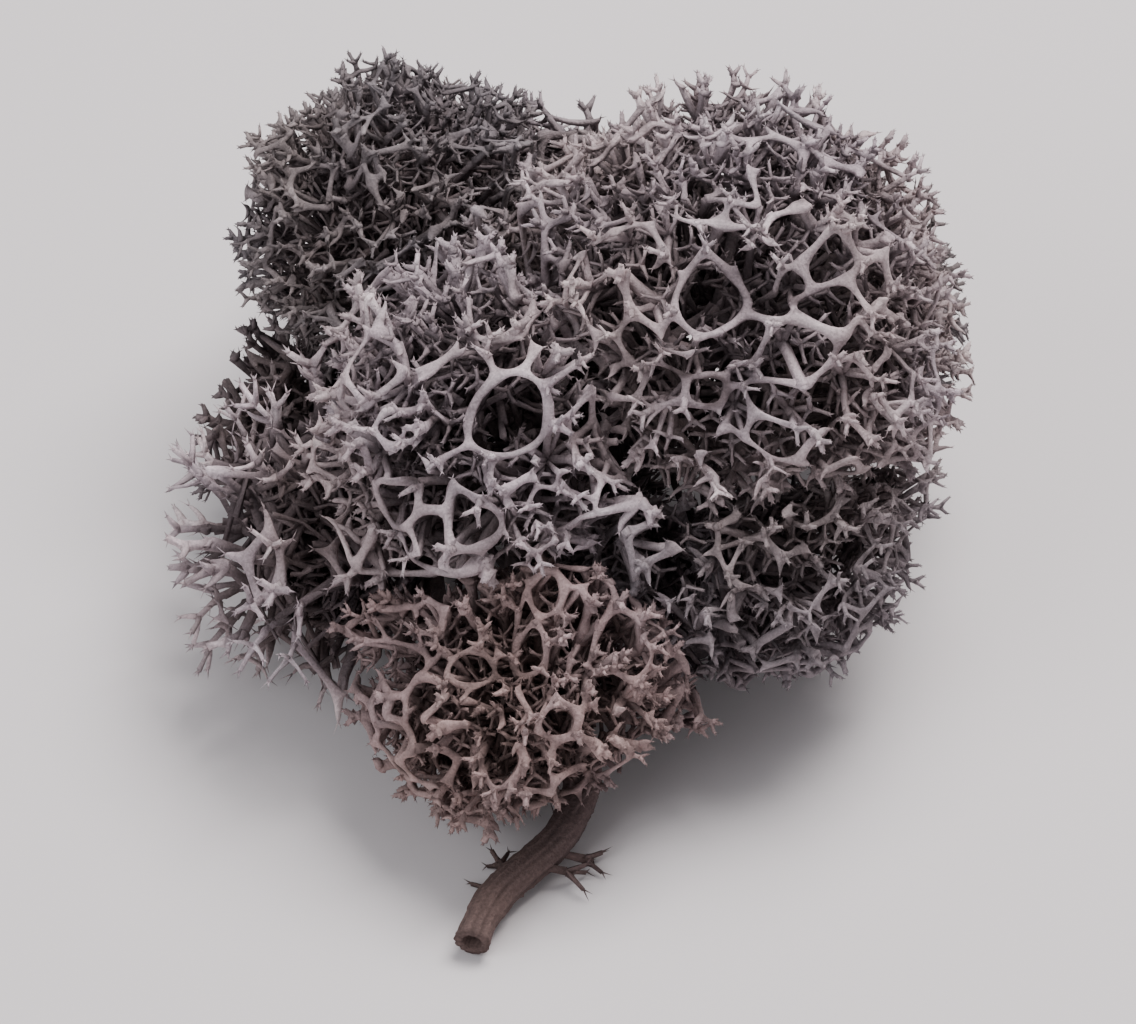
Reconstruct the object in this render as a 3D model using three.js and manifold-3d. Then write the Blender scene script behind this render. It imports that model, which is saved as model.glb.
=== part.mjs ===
// Reindeer moss clump: twelve stalks (podetia) of preserved reindeer lichen, grown tightly together
// into one cushion that stands on its cut feet.
// Millimetres, +Z up. The origin is the middle of the tallest stalk's cut foot, on the surface
// that the clump stands on. +X is the clump's right, -Y its front.

import * as THREE from 'three';
import { ConvexHull } from 'three/addons/math/ConvexHull.js';
import Module from 'manifold-3d';

const wasm = await Module();
wasm.setup();

// ---- driving dimensions: millimetres, degrees, and shares of a head's radius ----

const HUB = new THREE.Vector3(0, 0, 4); // the heads face away from this point, low in the clump
const GAP = 0.36; // clear gap where two heads press against each other
const FLOOR_CLEARANCE = 0.5; // a head stays this far above the surface

const LUMP = 0.075; // how far a head's outline swells and dips
const ROUNDING = 36; // how sharply a head's outline turns where a neighbour stops it
const UNDERSIDE = 0.72; // the net's size under the head, as a share of its size on top
const TIP = 0.97; // the branchlets' tips, as a share of the head's outline
const TIP_SPREAD = 0.06; // how much the tips' heights vary
const AXIL = 0.86; // the middle of each joint, between its three tips
const RIDGE = 0.8; // the lowest stretch of a ridge, halfway between two joints
const DIMPLE = 0.64; // the bottoms of the holes in the net
const GAP_BOTTOM = 0.4; // the bottoms of the few large gaps in it
const TIP_OFFSET = 0.5; // from a joint's middle to its tips, as a share of half a ridge
const JITTER = 0.3; // how far a hole strays from its even place, as a share of their spacing
const CLEARING = 1.25; // no other hole lies within a large gap's width times this

const CROTCH = 0.3; // where the stalk ends, below the middle of its head
const STALK_SIDES = 6;
const STALK_STEPS = 6;
const STALK_WAIST = 0.18; // how much slimmer a stalk is halfway up
const STALK_PULL = [0.4, 0.3]; // how far its ends run straight, as shares of the way between them
const FOOT_FLARE = 1.35; // the cut foot is this much wider than the stalk
const LYING = new THREE.Vector3(0.24, 0.97, 0.1); // the way a stalk runs that lies on the surface
const TWIG_PLACES = [0.34, 0.52, 0.7]; // of the short dead twigs, as shares of the stalk's length
const TWIG_STEM = 1.6; // its length up to the fork
const TWIG_TINE = 1.3; // the length of its three tips
const TWIG_RADIUS = 0.55;
const TWIG_TILT = 62;
const TWIG_SPREAD = 38;
const FINENESS = 0.01; // smaller details than this are left out

// The thallus is palest on the sunlit heads and brown where the lichen has died back.
const TONES = {
  pale: { color: 0x7a6e71, roughness: 0.95, metalness: 0 },
  grey: { color: 0x67605f, roughness: 0.95, metalness: 0 },
  dark: { color: 0x524a4c, roughness: 0.95, metalness: 0 },
  brown: { color: 0x5c4947, roughness: 0.95, metalness: 0 },
};

// One row for each stalk. holes is the number of holes in the net of its head, foot the place of
// its cut end, and gaps the largest openings: [direction from the head's middle, angle across].
// axis is the way that a head faces, for the one that doesn't face straight away from the hub.
const PODETIA = [
  { name: 'main_podetium', tone: 'pale', head: [9.5, -1.5, 24], radius: 14.4, holes: 96,
    foot: [0, 0, 0], stalk: 1.55, gaps: [{ toward: [-0.13, -0.7, 0.7], angle: 15 }] },
  { name: 'fine_podetium', tone: 'grey', head: [-11.6, 11.6, 19.8], radius: 9.8, holes: 68,
    foot: [-7.2, 6.2, 0], stalk: 1.25, gaps: [] },
  { name: 'netted_podetium', tone: 'pale', head: [-5.6, -8, 20.2], radius: 10.9, holes: 44,
    foot: [-3.4, -4.6, 0], stalk: 1.4,
    gaps: [{ toward: [0.16, -0.63, 0.76], angle: 26 }, { toward: [0, -0.98, 0.18], angle: 20 }] },
  { name: 'fringe_podetium', tone: 'pale', head: [-16.2, -7.2, 9.4], radius: 9, holes: 34,
    foot: [-9.6, -2.4, 0], stalk: 1.15, gaps: [] },
  { name: 'dead_podetium', tone: 'brown', head: [-3.4, -18.4, 8.8], radius: 10.2, holes: 52,
    squash: 0.2, axis: [-0.55, 0.35, 0.75], foot: [-6.5, -32.5, 0], lying: true, stalk: 1, gaps: [] },
  { name: 'front_right_podetium', tone: 'dark', head: [11.2, -9.4, 13.5], radius: 9.8, holes: 46,
    foot: [7, -6, 0], stalk: 1.2, gaps: [] },
  { name: 'front_podetium', tone: 'dark', head: [4.2, -10.6, 13], radius: 8.8, holes: 30,
    foot: [1.6, -4.8, 0], stalk: 1, gaps: [] },
  { name: 'middle_podetium', tone: 'dark', head: [-1.8, 2.8, 18.2], radius: 8.6, holes: 28,
    foot: [-1.9, 3.5, 0], stalk: 1, gaps: [] },
  { name: 'back_podetium', tone: 'dark', head: [1.4, 12.6, 14], radius: 9.8, holes: 44,
    foot: [2.8, 6.4, 0], stalk: 1.25, gaps: [] },
  { name: 'right_back_podetium', tone: 'grey', head: [14.8, 9.2, 13.4], radius: 9.2, holes: 42,
    foot: [8.6, 4.2, 0], stalk: 1.1, gaps: [] },
  { name: 'left_back_podetium', tone: 'dark', head: [-16.6, 5.4, 7.2], radius: 6.8, holes: 28,
    foot: [-11.8, 3.6, 0], stalk: 0.95, gaps: [] },
  { name: 'back_left_podetium', tone: 'dark', head: [-8, 20.5, 10.2], radius: 9.4, holes: 40,
    foot: [-4, 11, 0], stalk: 1.05, gaps: [] },
];

// ---- small helpers ----

const vector = (values) => new THREE.Vector3(...values);
const radians = THREE.MathUtils.degToRad;
const UP = new THREE.Vector3(0, 0, 1);

// A repeatable number from 0 to 1 for each whole-number pair, so that every build is alike.
function chance(index, salt) {
  const wave = Math.sin(index * 12.9898 + salt * 78.233) * 43758.5453;
  return wave - Math.floor(wave);
}

// Two directions square to each other and to the one given.
function crossways(direction) {
  const helper = Math.abs(direction.z) < 0.9 ? UP : new THREE.Vector3(1, 0, 0);
  const first = helper.clone().cross(direction).normalize();
  return [first, direction.clone().cross(first)];
}

// The given direction, turned by an angle toward a bearing round it.
function turned(direction, angle, bearing) {
  const [first, second] = crossways(direction);
  const sideways = first.multiplyScalar(Math.cos(bearing)).addScaledVector(second, Math.sin(bearing));
  return direction.clone().multiplyScalar(Math.cos(angle)).addScaledVector(sideways, Math.sin(angle));
}

// A manifold-3d solid from points and the triangles between them.
function solid(points, triangles) {
  return new wasm.Manifold(new wasm.Mesh({
    numProp: 3,
    vertProperties: new Float32Array(points.flatMap((p) => [p.x, p.y, p.z])),
    triVerts: new Uint32Array(triangles.flat()),
  }));
}

// Points evenly round a centre, in the plane of the two given directions.
function ring(centre, first, second, radius, sides) {
  return Array.from({ length: sides }, (_, side) => {
    const angle = (side * 2 * Math.PI) / sides;
    return centre.clone().addScaledVector(first, radius * Math.cos(angle))
      .addScaledVector(second, radius * Math.sin(angle));
  });
}

// A solid skinned over rings of points, each ring counter-clockwise as seen from the next one.
function loft(rings) {
  const sides = rings[0].length;
  const lastRing = (rings.length - 1) * sides;
  const triangles = [];
  for (let side = 1; side < sides - 1; side += 1) {
    triangles.push([0, side + 1, side], [lastRing, lastRing + side, lastRing + side + 1]);
  }
  for (let start = 0; start < lastRing; start += sides) {
    for (let side = 0; side < sides; side += 1) {
      const here = start + side;
      const beside = start + ((side + 1) % sides);
      triangles.push([here, beside, beside + sides], [here, beside + sides, here + sides]);
    }
  }
  return solid(rings.flat(), triangles);
}

// ---- the outline of a head ----

// Neighbouring heads press flat against each other in the plane through the ring where their
// round outlines would cross. Each head keeps half the gap away from it.
function findWalls(podetium) {
  const floor = { normal: new THREE.Vector3(0, 0, -1), distance: podetium.head.z - FLOOR_CLEARANCE };
  const walls = PODETIA.filter((other) => other !== podetium).map((other) => {
    const across = other.head.clone().sub(podetium.head);
    const span = across.length();
    const crossing = (span ** 2 + podetium.radius ** 2 - other.radius ** 2) / (2 * span);
    return { normal: across.divideScalar(span), distance: crossing - GAP / 2 };
  });
  return [floor, ...walls];
}

// The slow swells and dips of a head's round outline, from -1 to 1.
function lumps(direction, phase) {
  const { x, y, z } = direction;
  return (Math.sin(4.3 * x + 2.1 * y + phase) + Math.sin(5.2 * y - 3.1 * z + 1.7 * phase)
    + Math.sin(4.7 * z + 3.4 * x + 2.9 * phase)) / 3;
}

// The distance from a head's middle to its outline. Every wall rounds the outline off softly.
function outline(podetium, direction) {
  const squash = 1 - (podetium.squash ?? 0) * direction.z ** 2;
  const round = podetium.radius * squash * (1 + LUMP * lumps(direction, podetium.phase));
  let sum = round ** -ROUNDING;
  for (const wall of podetium.walls) {
    const slope = direction.dot(wall.normal);
    if (slope > 0) sum += (wall.distance / slope) ** -ROUNDING;
  }
  return sum ** (-1 / ROUNDING);
}

const place = (podetium, direction, share) => podetium.head.clone()
  .addScaledVector(direction, share * outline(podetium, direction));

const inGap = (podetium, direction) => podetium.gaps
  .some((gap) => direction.angleTo(gap.toward) < radians(gap.angle / 2) * CLEARING);

// ---- the pieces of a podetium ----

// Directions spread evenly round a head by the golden angle, each a little off its even place.
// One direction stands for each large gap, in place of the even ones there.
function holeDirections(podetium) {
  const spacing = Math.sqrt((4 * Math.PI) / podetium.holes);
  const goldenAngle = Math.PI * (3 - Math.sqrt(5));
  const directions = podetium.gaps.map((gap) => gap.toward);
  for (let i = 0; i < podetium.holes; i += 1) {
    const tilt = Math.acos(1 - (2 * i + 1) / podetium.holes);
    const even = turned(podetium.axis, tilt, i * goldenAngle);
    const stray = JITTER * spacing * chance(i, podetium.phase);
    const direction = turned(even, stray, 2 * Math.PI * chance(i, podetium.phase + 1));
    if (!inGap(podetium, direction)) directions.push(direction);
  }
  return directions;
}

// The net of a head: rounded holes with ridges between them. Where three holes meet, three ridges
// meet in a joint, and each of them rises beside it to a branchlet's tip.
function buildNet(podetium) {
  const holes = holeDirections(podetium);
  const points = [];
  const addPoint = (direction, share) => {
    const below = THREE.MathUtils.smoothstep(-direction.dot(podetium.axis), 0.1, 0.9);
    return points.push(place(podetium, direction, share * (1 - (1 - UNDERSIDE) * below))) - 1;
  };
  holes.forEach((hole, i) => addPoint(hole, i < podetium.gaps.length ? GAP_BOTTOM : DIMPLE));

  const { faces } = new ConvexHull().setFromPoints(holes);
  const edgesOf = (face) => [0, 1, 2].map((k) => face.getEdge(k));
  faces.forEach((face) => {
    face.middle = edgesOf(face).reduce((sum, edge) => sum.add(edge.head().point), new THREE.Vector3());
    face.middle.normalize();
  });
  const halfway = (edge) => edge.face.middle.clone().add(edge.twin.face.middle).normalize();

  const triangles = [];
  faces.forEach((face, i) => {
    const axil = addPoint(face.middle, AXIL);
    const edges = edgesOf(face);
    const tips = edges.map((edge, k) => {
      const direction = face.middle.clone().lerp(halfway(edge), TIP_OFFSET).normalize();
      return addPoint(direction, TIP + TIP_SPREAD * (chance(3 * i + k, podetium.phase + 2) - 0.5));
    });
    edges.forEach((edge, k) => {
      edge.ridge = edge.twin.ridge ?? addPoint(halfway(edge), RIDGE);
      const [from, to] = [edge.tail(), edge.head()].map((end) => holes.indexOf(end.point));
      const next = (k + 1) % 3;
      triangles.push([axil, tips[k], tips[next]], [tips[k], to, tips[next]]);
      triangles.push([from, edge.ridge, tips[k]], [edge.ridge, to, tips[k]]);
    });
  });
  return solid(points, triangles);
}

// A twig: a three-sided stalk that flares at its fork and ends in three sharp tips, with a small
// three-sided axil between them. The tips run counter-clockwise, seen from outside.
function buildTwig(root, fork, tips) {
  const along = fork.clone().sub(root).normalize();
  const outward = tips.map((tip) => {
    const arm = tip.clone().sub(fork);
    return arm.addScaledVector(along, -arm.dot(along)).normalize();
  });
  const base = outward.map((arm) => root.clone().addScaledVector(arm, TWIG_RADIUS));
  const flare = outward.map((arm) => fork.clone().addScaledVector(arm, TWIG_RADIUS));
  const axil = flare.map((point, k) => point.clone().lerp(flare[(k + 1) % 3], 0.5));
  const points = [...base, ...flare, ...axil, ...tips];
  const triangles = [[0, 2, 1], [6, 7, 8]];
  for (let k = 0; k < 3; k += 1) {
    const next = (k + 1) % 3;
    const before = (k + 2) % 3;
    const [here, there, edge, lastEdge, tip] = [3 + k, 3 + next, 6 + k, 6 + before, 9 + k];
    triangles.push([k, next, edge], [k, edge, here], [next, there, edge]);
    triangles.push([here, edge, tip], [edge, lastEdge, tip], [lastEdge, here, tip]);
  }
  return solid(points, triangles);
}

// The stalk's middle line: upright from its cut foot, or lying along the surface, and then
// bending into the head.
function stalkPath(podetium) {
  const start = podetium.foot.clone();
  if (podetium.lying) start.z = podetium.stalk * FOOT_FLARE;
  const reach = podetium.crotch.distanceTo(start);
  return new THREE.CubicBezierCurve3(start,
    start.clone().addScaledVector(podetium.lying ? LYING : UP, STALK_PULL[0] * reach),
    podetium.crotch.clone().addScaledVector(podetium.axis, -STALK_PULL[1] * reach), podetium.crotch);
}

// A stalk, slimmer halfway up and closed at both ends. Its first ring is the cut foot.
function buildStalk(podetium) {
  const path = stalkPath(podetium);
  const sideways = path.getTangent(0).cross(podetium.crotch.clone().sub(path.getPoint(0))).normalize();
  const rings = Array.from({ length: STALK_STEPS + 1 }, (_, step) => {
    const along = step / STALK_STEPS;
    const tangent = path.getTangent(along);
    const first = sideways.clone().addScaledVector(tangent, -sideways.dot(tangent)).normalize();
    const width = step === 0 ? FOOT_FLARE : 1 - STALK_WAIST * Math.sin(Math.PI * along);
    return ring(path.getPoint(along), first, tangent.clone().cross(first), podetium.stalk * width,
      STALK_SIDES);
  });
  return loft(rings);
}

// Short dead twigs low on the stalk, each a small fork of its own.
function buildTwigs(podetium) {
  const path = stalkPath(podetium);
  return TWIG_PLACES.map((along, i) => {
    const bearing = 2.4 * i + podetium.phase;
    const root = path.getPoint(along);
    const direction = turned(path.getTangent(along), radians(TWIG_TILT), bearing);
    const fork = root.clone().addScaledVector(direction, TWIG_STEM);
    const tips = [0, 1, 2].map((k) => {
      const spread = turned(direction, radians(TWIG_SPREAD), bearing + (k * 2 * Math.PI) / 3);
      return fork.clone().addScaledVector(spread, TWIG_TINE);
    });
    return buildTwig(root, fork, tips);
  });
}

// ---- the clump ----

// The largest connected piece, without any loose scrap.
function largestPiece(shape) {
  const pieces = shape.decompose();
  return pieces.reduce((best, piece) => (piece.volume() > best.volume() ? piece : best));
}

function buildPodetium(podetium) {
  const pieces = [buildStalk(podetium), ...buildTwigs(podetium), buildNet(podetium)];
  const joined = largestPiece(wasm.Manifold.union(pieces).simplify(FINENESS));
  const { vertProperties, triVerts } = joined.getMesh();
  const geometry = new THREE.BufferGeometry();
  geometry.setAttribute('position', new THREE.BufferAttribute(vertProperties, 3));
  geometry.setIndex(new THREE.BufferAttribute(triVerts, 1));
  const material = new THREE.MeshStandardMaterial({ ...TONES[podetium.tone], flatShading: true });
  const mesh = new THREE.Mesh(geometry, material);
  mesh.name = podetium.name;
  return mesh;
}

PODETIA.forEach((podetium, i) => {
  podetium.head = vector(podetium.head);
  podetium.foot = vector(podetium.foot);
  podetium.axis = podetium.axis ? vector(podetium.axis) : podetium.head.clone().sub(HUB);
  podetium.axis.normalize();
  podetium.phase = 1.3 * i;
  podetium.gaps.forEach((gap) => { gap.toward = vector(gap.toward).normalize(); });
  podetium.crotch = podetium.head.clone().addScaledVector(podetium.axis, -CROTCH * podetium.radius);
});
PODETIA.forEach((podetium) => { podetium.walls = findWalls(podetium); });

const clump = new THREE.Group();
clump.name = 'reindeer_moss_clump';
PODETIA.forEach((podetium) => clump.add(buildPodetium(podetium)));

export default clump;
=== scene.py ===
"""Reindeer moss clump: twelve stalks of preserved reindeer lichen, each a tree of fine hollow branchlets
that forks some thousand times on its way out to a rounded, netted head.
"""
import math

import bpy
import numpy as np
from bpy.props import FloatProperty, FloatVectorProperty, PointerProperty
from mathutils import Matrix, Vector
from mathutils.geometry import delaunay_2d_cdt


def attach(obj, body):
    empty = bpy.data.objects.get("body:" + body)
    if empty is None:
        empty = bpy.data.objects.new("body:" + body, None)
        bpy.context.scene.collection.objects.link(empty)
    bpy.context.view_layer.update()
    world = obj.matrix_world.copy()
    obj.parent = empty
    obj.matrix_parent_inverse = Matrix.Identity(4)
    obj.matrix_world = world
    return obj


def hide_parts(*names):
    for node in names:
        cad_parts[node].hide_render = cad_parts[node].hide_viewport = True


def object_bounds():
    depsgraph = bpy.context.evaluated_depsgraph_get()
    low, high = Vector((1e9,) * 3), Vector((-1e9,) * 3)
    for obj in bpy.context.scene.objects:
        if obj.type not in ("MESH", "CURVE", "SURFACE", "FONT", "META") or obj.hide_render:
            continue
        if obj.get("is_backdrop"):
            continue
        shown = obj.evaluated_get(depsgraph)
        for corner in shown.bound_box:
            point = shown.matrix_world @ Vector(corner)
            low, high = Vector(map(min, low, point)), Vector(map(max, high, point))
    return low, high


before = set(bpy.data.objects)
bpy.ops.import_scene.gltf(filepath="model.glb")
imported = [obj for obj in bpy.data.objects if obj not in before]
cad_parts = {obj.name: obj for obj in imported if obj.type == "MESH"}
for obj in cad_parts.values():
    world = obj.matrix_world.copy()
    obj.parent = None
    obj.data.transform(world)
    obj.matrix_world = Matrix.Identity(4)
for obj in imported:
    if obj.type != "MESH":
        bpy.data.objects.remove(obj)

bl_info = {
    "name": "Reindeer moss clump",
    "version": (1, 0, 0),
    "blender": (4, 5, 0),
    "location": "3D View > Sidebar > Moss",
    "description": "Grows a clump of preserved reindeer lichen, head by head, on a pale floor",
    "category": "Object",
}

MM = 0.001  # shapes are worked out in millimetres and placed in metres
LOW, HIGH = (np.array(corner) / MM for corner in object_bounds())  # the clump's box
OVERSHOOT = 0.4  # share by which a tip that would leave the box still does

# ---- the clump: places and sizes in millimetres, angles in degrees ----

HUB = np.array([0.0, 0.0, 4.0])  # the heads face away from this point, low in the clump
GAP = -0.4  # between two heads that press against each other; below 0 they interlock
FLOOR_CLEARANCE = 0.5  # a head stays this far above the floor
LUMP = 0.075  # how far a head's outline swells and dips
WAVES = ((4.3, 2.1, 0, 1), (0, 5.2, -3.1, 1.7), (3.4, 0, 4.7, 2.9))  # of its lumps, along x, y, z and phase
PHASE_STEP = 1.3  # of the lumps, from head to head
ROUNDING = 40  # how sharply an outline turns where a neighbour stops it
MERGING = 0.42  # per millimetre: the lower, the more the heads fill the grooves between them
CROTCH = 0.55  # where the stalk first forks, below a head's centre, as a share of its radius
FIRST_SEED = 180
GOLDEN_ANGLE = math.pi * (3 - math.sqrt(5))


def hole(width, *toward, roundness=0.2):
    """A large hole with a place of its own in the net; several directions in a row make it long."""
    return toward, width, roundness


# One row for each stalk: its head's centre and radius, its cut foot, the stalk's radius, the usual width
# of the net's holes and the thickness of its branchlets. Large holes that have a place of their own come
# as hole rows, and patches of a finer or a coarser net as (direction, angle across, width of holes).
# The pale and the dark tone are one colour, lighter as painted light on the heads that lie in the light and
# darker as painted shade on those that lie in shade.
HEADS = {
    "main_podetium": dict(
        tone="pale", centre=(9.5, -1.5, 24), radius=14.4, foot=(0, 0, 0), stalk=1.55, seed=240,
        spacing=2.1, thickness=0.39, closed=0.5,
        holes=(hole(3.0, (-0.17, -0.68, 0.72)), hole(2.5, (-0.07, -0.46, 0.89)),
               hole(1.9, (-0.13, -0.93, 0.35)), hole(1.8, (-0.27, -0.84, 0.46)),
               hole(1.9, (0.16, -0.7, 0.7), (0.24, -0.64, 0.73))),
        patches=(((-0.3, 0.1, 0.95), 50, 1.75), ((0.72, -0.35, 0.6), 55, 1.8))),
    "fine_podetium": dict(
        tone="grey", centre=(-11.6, 11.6, 19.8), radius=9.8, foot=(-7.2, 6.2, 0), stalk=1.25,
        spacing=1.6, thickness=0.32),
    "netted_podetium": dict(
        tone="pale", centre=(-5.6, -8, 20.2), radius=10.9, foot=(-3.4, -4.6, 0), stalk=1.4, seed=242,
        # The netted head is lightened as painted light, through its lifted tints.
        spacing=2.3, thickness=0.45, closed=0.5, dulling=0.65,
        holes=(hole(4.0, (0.15, -0.65, 0.75), roundness=0.5), hole(3.2, (-0.09, -0.98, 0.19)),
               hole(2.3, (-0.56, -0.56, 0.61), (-0.43, -0.65, 0.62), (-0.31, -0.72, 0.62)),
               hole(2.3, (-0.65, -0.64, 0.4), (-0.5, -0.78, 0.4), (-0.36, -0.86, 0.38)),
               hole(2.1, (0.12, -0.35, 0.93)), hole(2.3, (-0.34, -0.93, 0.08), (-0.31, -0.95, -0.1))),
        patches=(((-0.5, -0.35, 0.75), 60, 3.0), ((0.35, -0.9, 0.3), 34, 1.25))),
    "fringe_podetium": dict(
        tone="pale", centre=(-16.2, -7.2, 9.4), radius=9, foot=(-9.6, -2.4, 0), stalk=1.15, seed=383,
        # The fringe head is lightened as painted light, through its lifted tints, more than the netted head.
        spacing=3.6, thickness=0.46, closed=0.12, reach=1.7, sinking=1.6, dulling=0.4, ageing=1.5,
        holes=(hole(1.5, (0.27, -0.74, 0.61), roundness=0.5),)),
    "dead_podetium": dict(
        tone="brown", centre=(-3.4, -18.4, 8.8), radius=10.2, axis=(-0.55, 0.35, 0.75),
        foot=(-6.5, -32.5, 0), stalk=1.0, squash=0.2, lying=True, seed=284,
        spacing=1.4, thickness=0.36, closed=0.45,
        holes=(hole(2.5, (-0.92, -0.38, 0.15), (-0.87, -0.49, 0.02), (-0.8, -0.58, -0.15)),
               hole(2.5, (-0.7, -0.57, 0.44), (-0.68, -0.69, 0.24), (-0.65, -0.76, 0.06)),
               hole(2.8, (-0.17, -0.95, 0.24), roundness=0), hole(2.1, (0.23, -0.83, 0.5)),
               hole(3.0, (0.34, -0.93, -0.1), (0.12, -0.99, -0.1))),
        patches=(((-0.85, -0.35, 0.1), 60, 2.3),)),
    "front_right_podetium": dict(
        tone="dark", centre=(11.2, -9.4, 13.5), radius=9.8, foot=(7, -6, 0), stalk=1.2,
        spacing=1.85, thickness=0.34, closed=0.32),
    "front_podetium": dict(
        tone="dark", centre=(4.2, -10.6, 13), radius=8.8, foot=(1.6, -4.8, 0), stalk=1.0,
        spacing=1.75, thickness=0.33, closed=0.32),
    "middle_podetium": dict(
        tone="dark", centre=(-1.8, 2.8, 18.2), radius=8.6, foot=(-1.9, 3.5, 0), stalk=1.0,
        spacing=1.75, thickness=0.35),
    "back_podetium": dict(
        tone="dark", centre=(1.4, 12.6, 14), radius=9.8, foot=(2.8, 6.4, 0), stalk=1.25,
        spacing=2.2, thickness=0.4),
    "right_back_podetium": dict(
        tone="grey", centre=(14.8, 9.2, 13.4), radius=9.2, foot=(8.6, 4.2, 0), stalk=1.1,
        spacing=2.1, thickness=0.38),
    "left_back_podetium": dict(
        tone="dark", centre=(-16.6, 5.4, 7.2), radius=6.8, foot=(-11.8, 3.6, 0), stalk=0.95,
        # The left back head lies in shade, which is painted into it as added age.
        spacing=2.1, thickness=0.4, weathering=0.25),
    "back_left_podetium": dict(
        tone="dark", centre=(-8, 20.5, 10.2), radius=9.4, foot=(-4, 11, 0), stalk=1.05,
        spacing=2.2, thickness=0.4),
}
USUAL = dict(  # what a row leaves out
    holes=(), patches=(),
    squash=0,  # how flat the head is
    lying=False,  # whether the stalk lies on the floor
    reach=1,  # how long the tips are
    sinking=1,  # how deep the undergrowth lies
    ageing=1,  # how fast the head darkens inwards
    dulling=1,  # painted light: below one it lifts and evens the tints of a head's strands, which lightens the head
    weathering=0,  # painted shade: age added to all of a head that lies in shade
)

# The net
CAP_ANGLE = 128  # it covers a head from its crown down to this angle
SPARSE_ANGLE = 95  # below this its holes widen
SPARSER = 0.6  # how much wider they are at the most there, or where a neighbour hides them
PATCH_FADE = 3  # degrees over which a patch of another net fades
HEXAGONAL = 0.866  # the area that a hole takes up, over its width squared
HOLE_CLASSES = ((1.65, 0.05), (1.25, 0.17), (0.95, 0.5), (0.72, 1.0))  # width of holes, share of them by then
THROWS = 5000  # of holes for each class
MOST_HOLES = 6000  # that a net can have
FULL = 1.6  # the count of holes at which the throwing ends, over the usual count
LONGEST_SIDE = 1.1  # between the middles of two neighbouring holes, over the sum of their widths
PERFORATED = 0.015  # share of the other holes that have a closed, round rim
MISSING = 0.1  # share of the net's other branchlets that never grew
USUAL_SPACING = 2.2  # of a net to which the depths and lengths below apply as they are
NET_DEPTH = 0.8  # of the net below the outline, which its forked tips reach
RIM_STRAY, JOINT_STRAY = 0.06, 0.11  # of the joints, sideways, in widths of holes
DEPTH_STRAY, SHALLOWEST, DEEPEST = 0.26, 0.3, 2.6  # of the joints, inwards
UNEVEN = 0.2  # spread of the logarithm of a joint's thickness

# The skin of the net. Lengths are over the radius of its branchlets where nothing else is said.
JOINT_TOP, JOINT_BOTTOM = 1.35, 1.5  # how far a joint reaches outwards and inwards
WEB_REACH, WEB_DROP = (1.6, 3.3), (-0.3, 0.5)  # how far the webs of a joint spread, and how low they lie
WAIST, WAIST_LOG, WAIST_STRAY = 1.37, -0.25, 0.25  # half-way: factor, mean and spread of its logarithm
RIM_WIDTH = 1.15  # of a branchlet on a rim, over its height
SAG = (-0.05, 0.3)  # of a branchlet half-way, in millimetres
BULGE, ROUND_BULGE = 0.3, 0.5  # how far a rim bulges towards a circle: always, and more by its roundness
END_REACH = (0.7, 1.15)  # of a branchlet that ends, over the way half-way to its neighbour
RISE, RISE_STRAY, RISE_LIMITS = 0.35, 0.45, (-0.3, 1.2)  # of its heading, outwards, over its reach
SWAY = 0.25  # of its heading, sideways, over its reach
RING_AT, END_AT, END_RISE = 0.62, 1.12, 0.5  # of its ring and its point, over its reach, and how that rises
STAR_AT, STAR_RISE = 0.42, 0.6  # where between the two its points start, and how they rise
THIN, WART_THIN, WART_REACH = 0.85, 0.6, 0.3  # its ring over its waist, and a wart's ring and reach

# The tips
POINT_SPREAD = 0.6  # how far the points of a star spread, over how far they lead on
POINT_LENGTH = (0.5, 1.0)  # of a point, over the longest in its star
POINT_BASE, POINT_ROOT = 0.9, 0.6  # how wide it starts and how far back, over the radius of the tip
ANTLERS_ON_RIM = 0.65  # share of the usual forked tips that a rim bears
ANTLER_LEAN = 0.6  # the most that one leans
STEM_LENGTH, TINE_LENGTH = (0.3, 0.85), (0.45, 0.95)  # of a forked tip, in millimetres
TINE_SPREAD, TINE_RISE = 1.05, 0.7  # how far its tines spread, and how they turn outwards at their ends
TWO_OR_THREE, THREE_OR_FOUR = (0.4, 0.6), (0.65, 0.35)  # shares of forks by the number of their tines

# What carries it, and what lies under it
FORK_DEPTH = 1.7  # of the forks that carry the net, below it
JOINTS = 2.8  # the usual number of the net's joints on such a fork
UNDERGROWTH_DEPTH = 2.4  # of the stars of shorter branchlets below the net, under the outline
UNDERGROWTH_SPACING = 1.9  # of these stars
LIMB_DEPTHS = (4.6, 7.2, 10.5)  # below the outline, of the forks under those
LIMB_GROWTH = (1.25, 1.6, 2.1, 2.6)  # thickness of a limb over that of a branchlet, from the net's forks down
CHILDREN = 3.2  # the usual number of limbs that such a fork has
FORK_STRAY, HEADING_STRAY = 0.25, 0.12  # of these forks in depth, and of the way a limb leaves one
SIDE_TWIGS, SIDE_TWIG_LENGTH = 0.7, (1.2, 2.2)  # share of the places on a limb that bear one; its length
THATCH_LENGTH = 6.5  # of the broken branchlets inside and under a head
THATCH_ANGLE = 160  # they reach from the crown down to this angle
THATCH = 3.2  # of them for each square millimetre of a head's radius squared
THATCH_DEPTH = (0.22, 0.75)  # of their ends below the outline, as a share of the way to the centre
THATCH_BOW = 0.25  # how far they bow, over their length
THATCH_THICKNESS = (0.7, 1.2)  # over that of the other branchlets inside
INNER = 0.45  # radius of the branchlets inside a head, over the width of those of its net
OLD_DEPTH = 9.0  # below the outline, where a limb is as dark as it gets
HOLE_SHADE = 0.6  # painted shade: how much darker, as added age, what lies under a large hole is made
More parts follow.
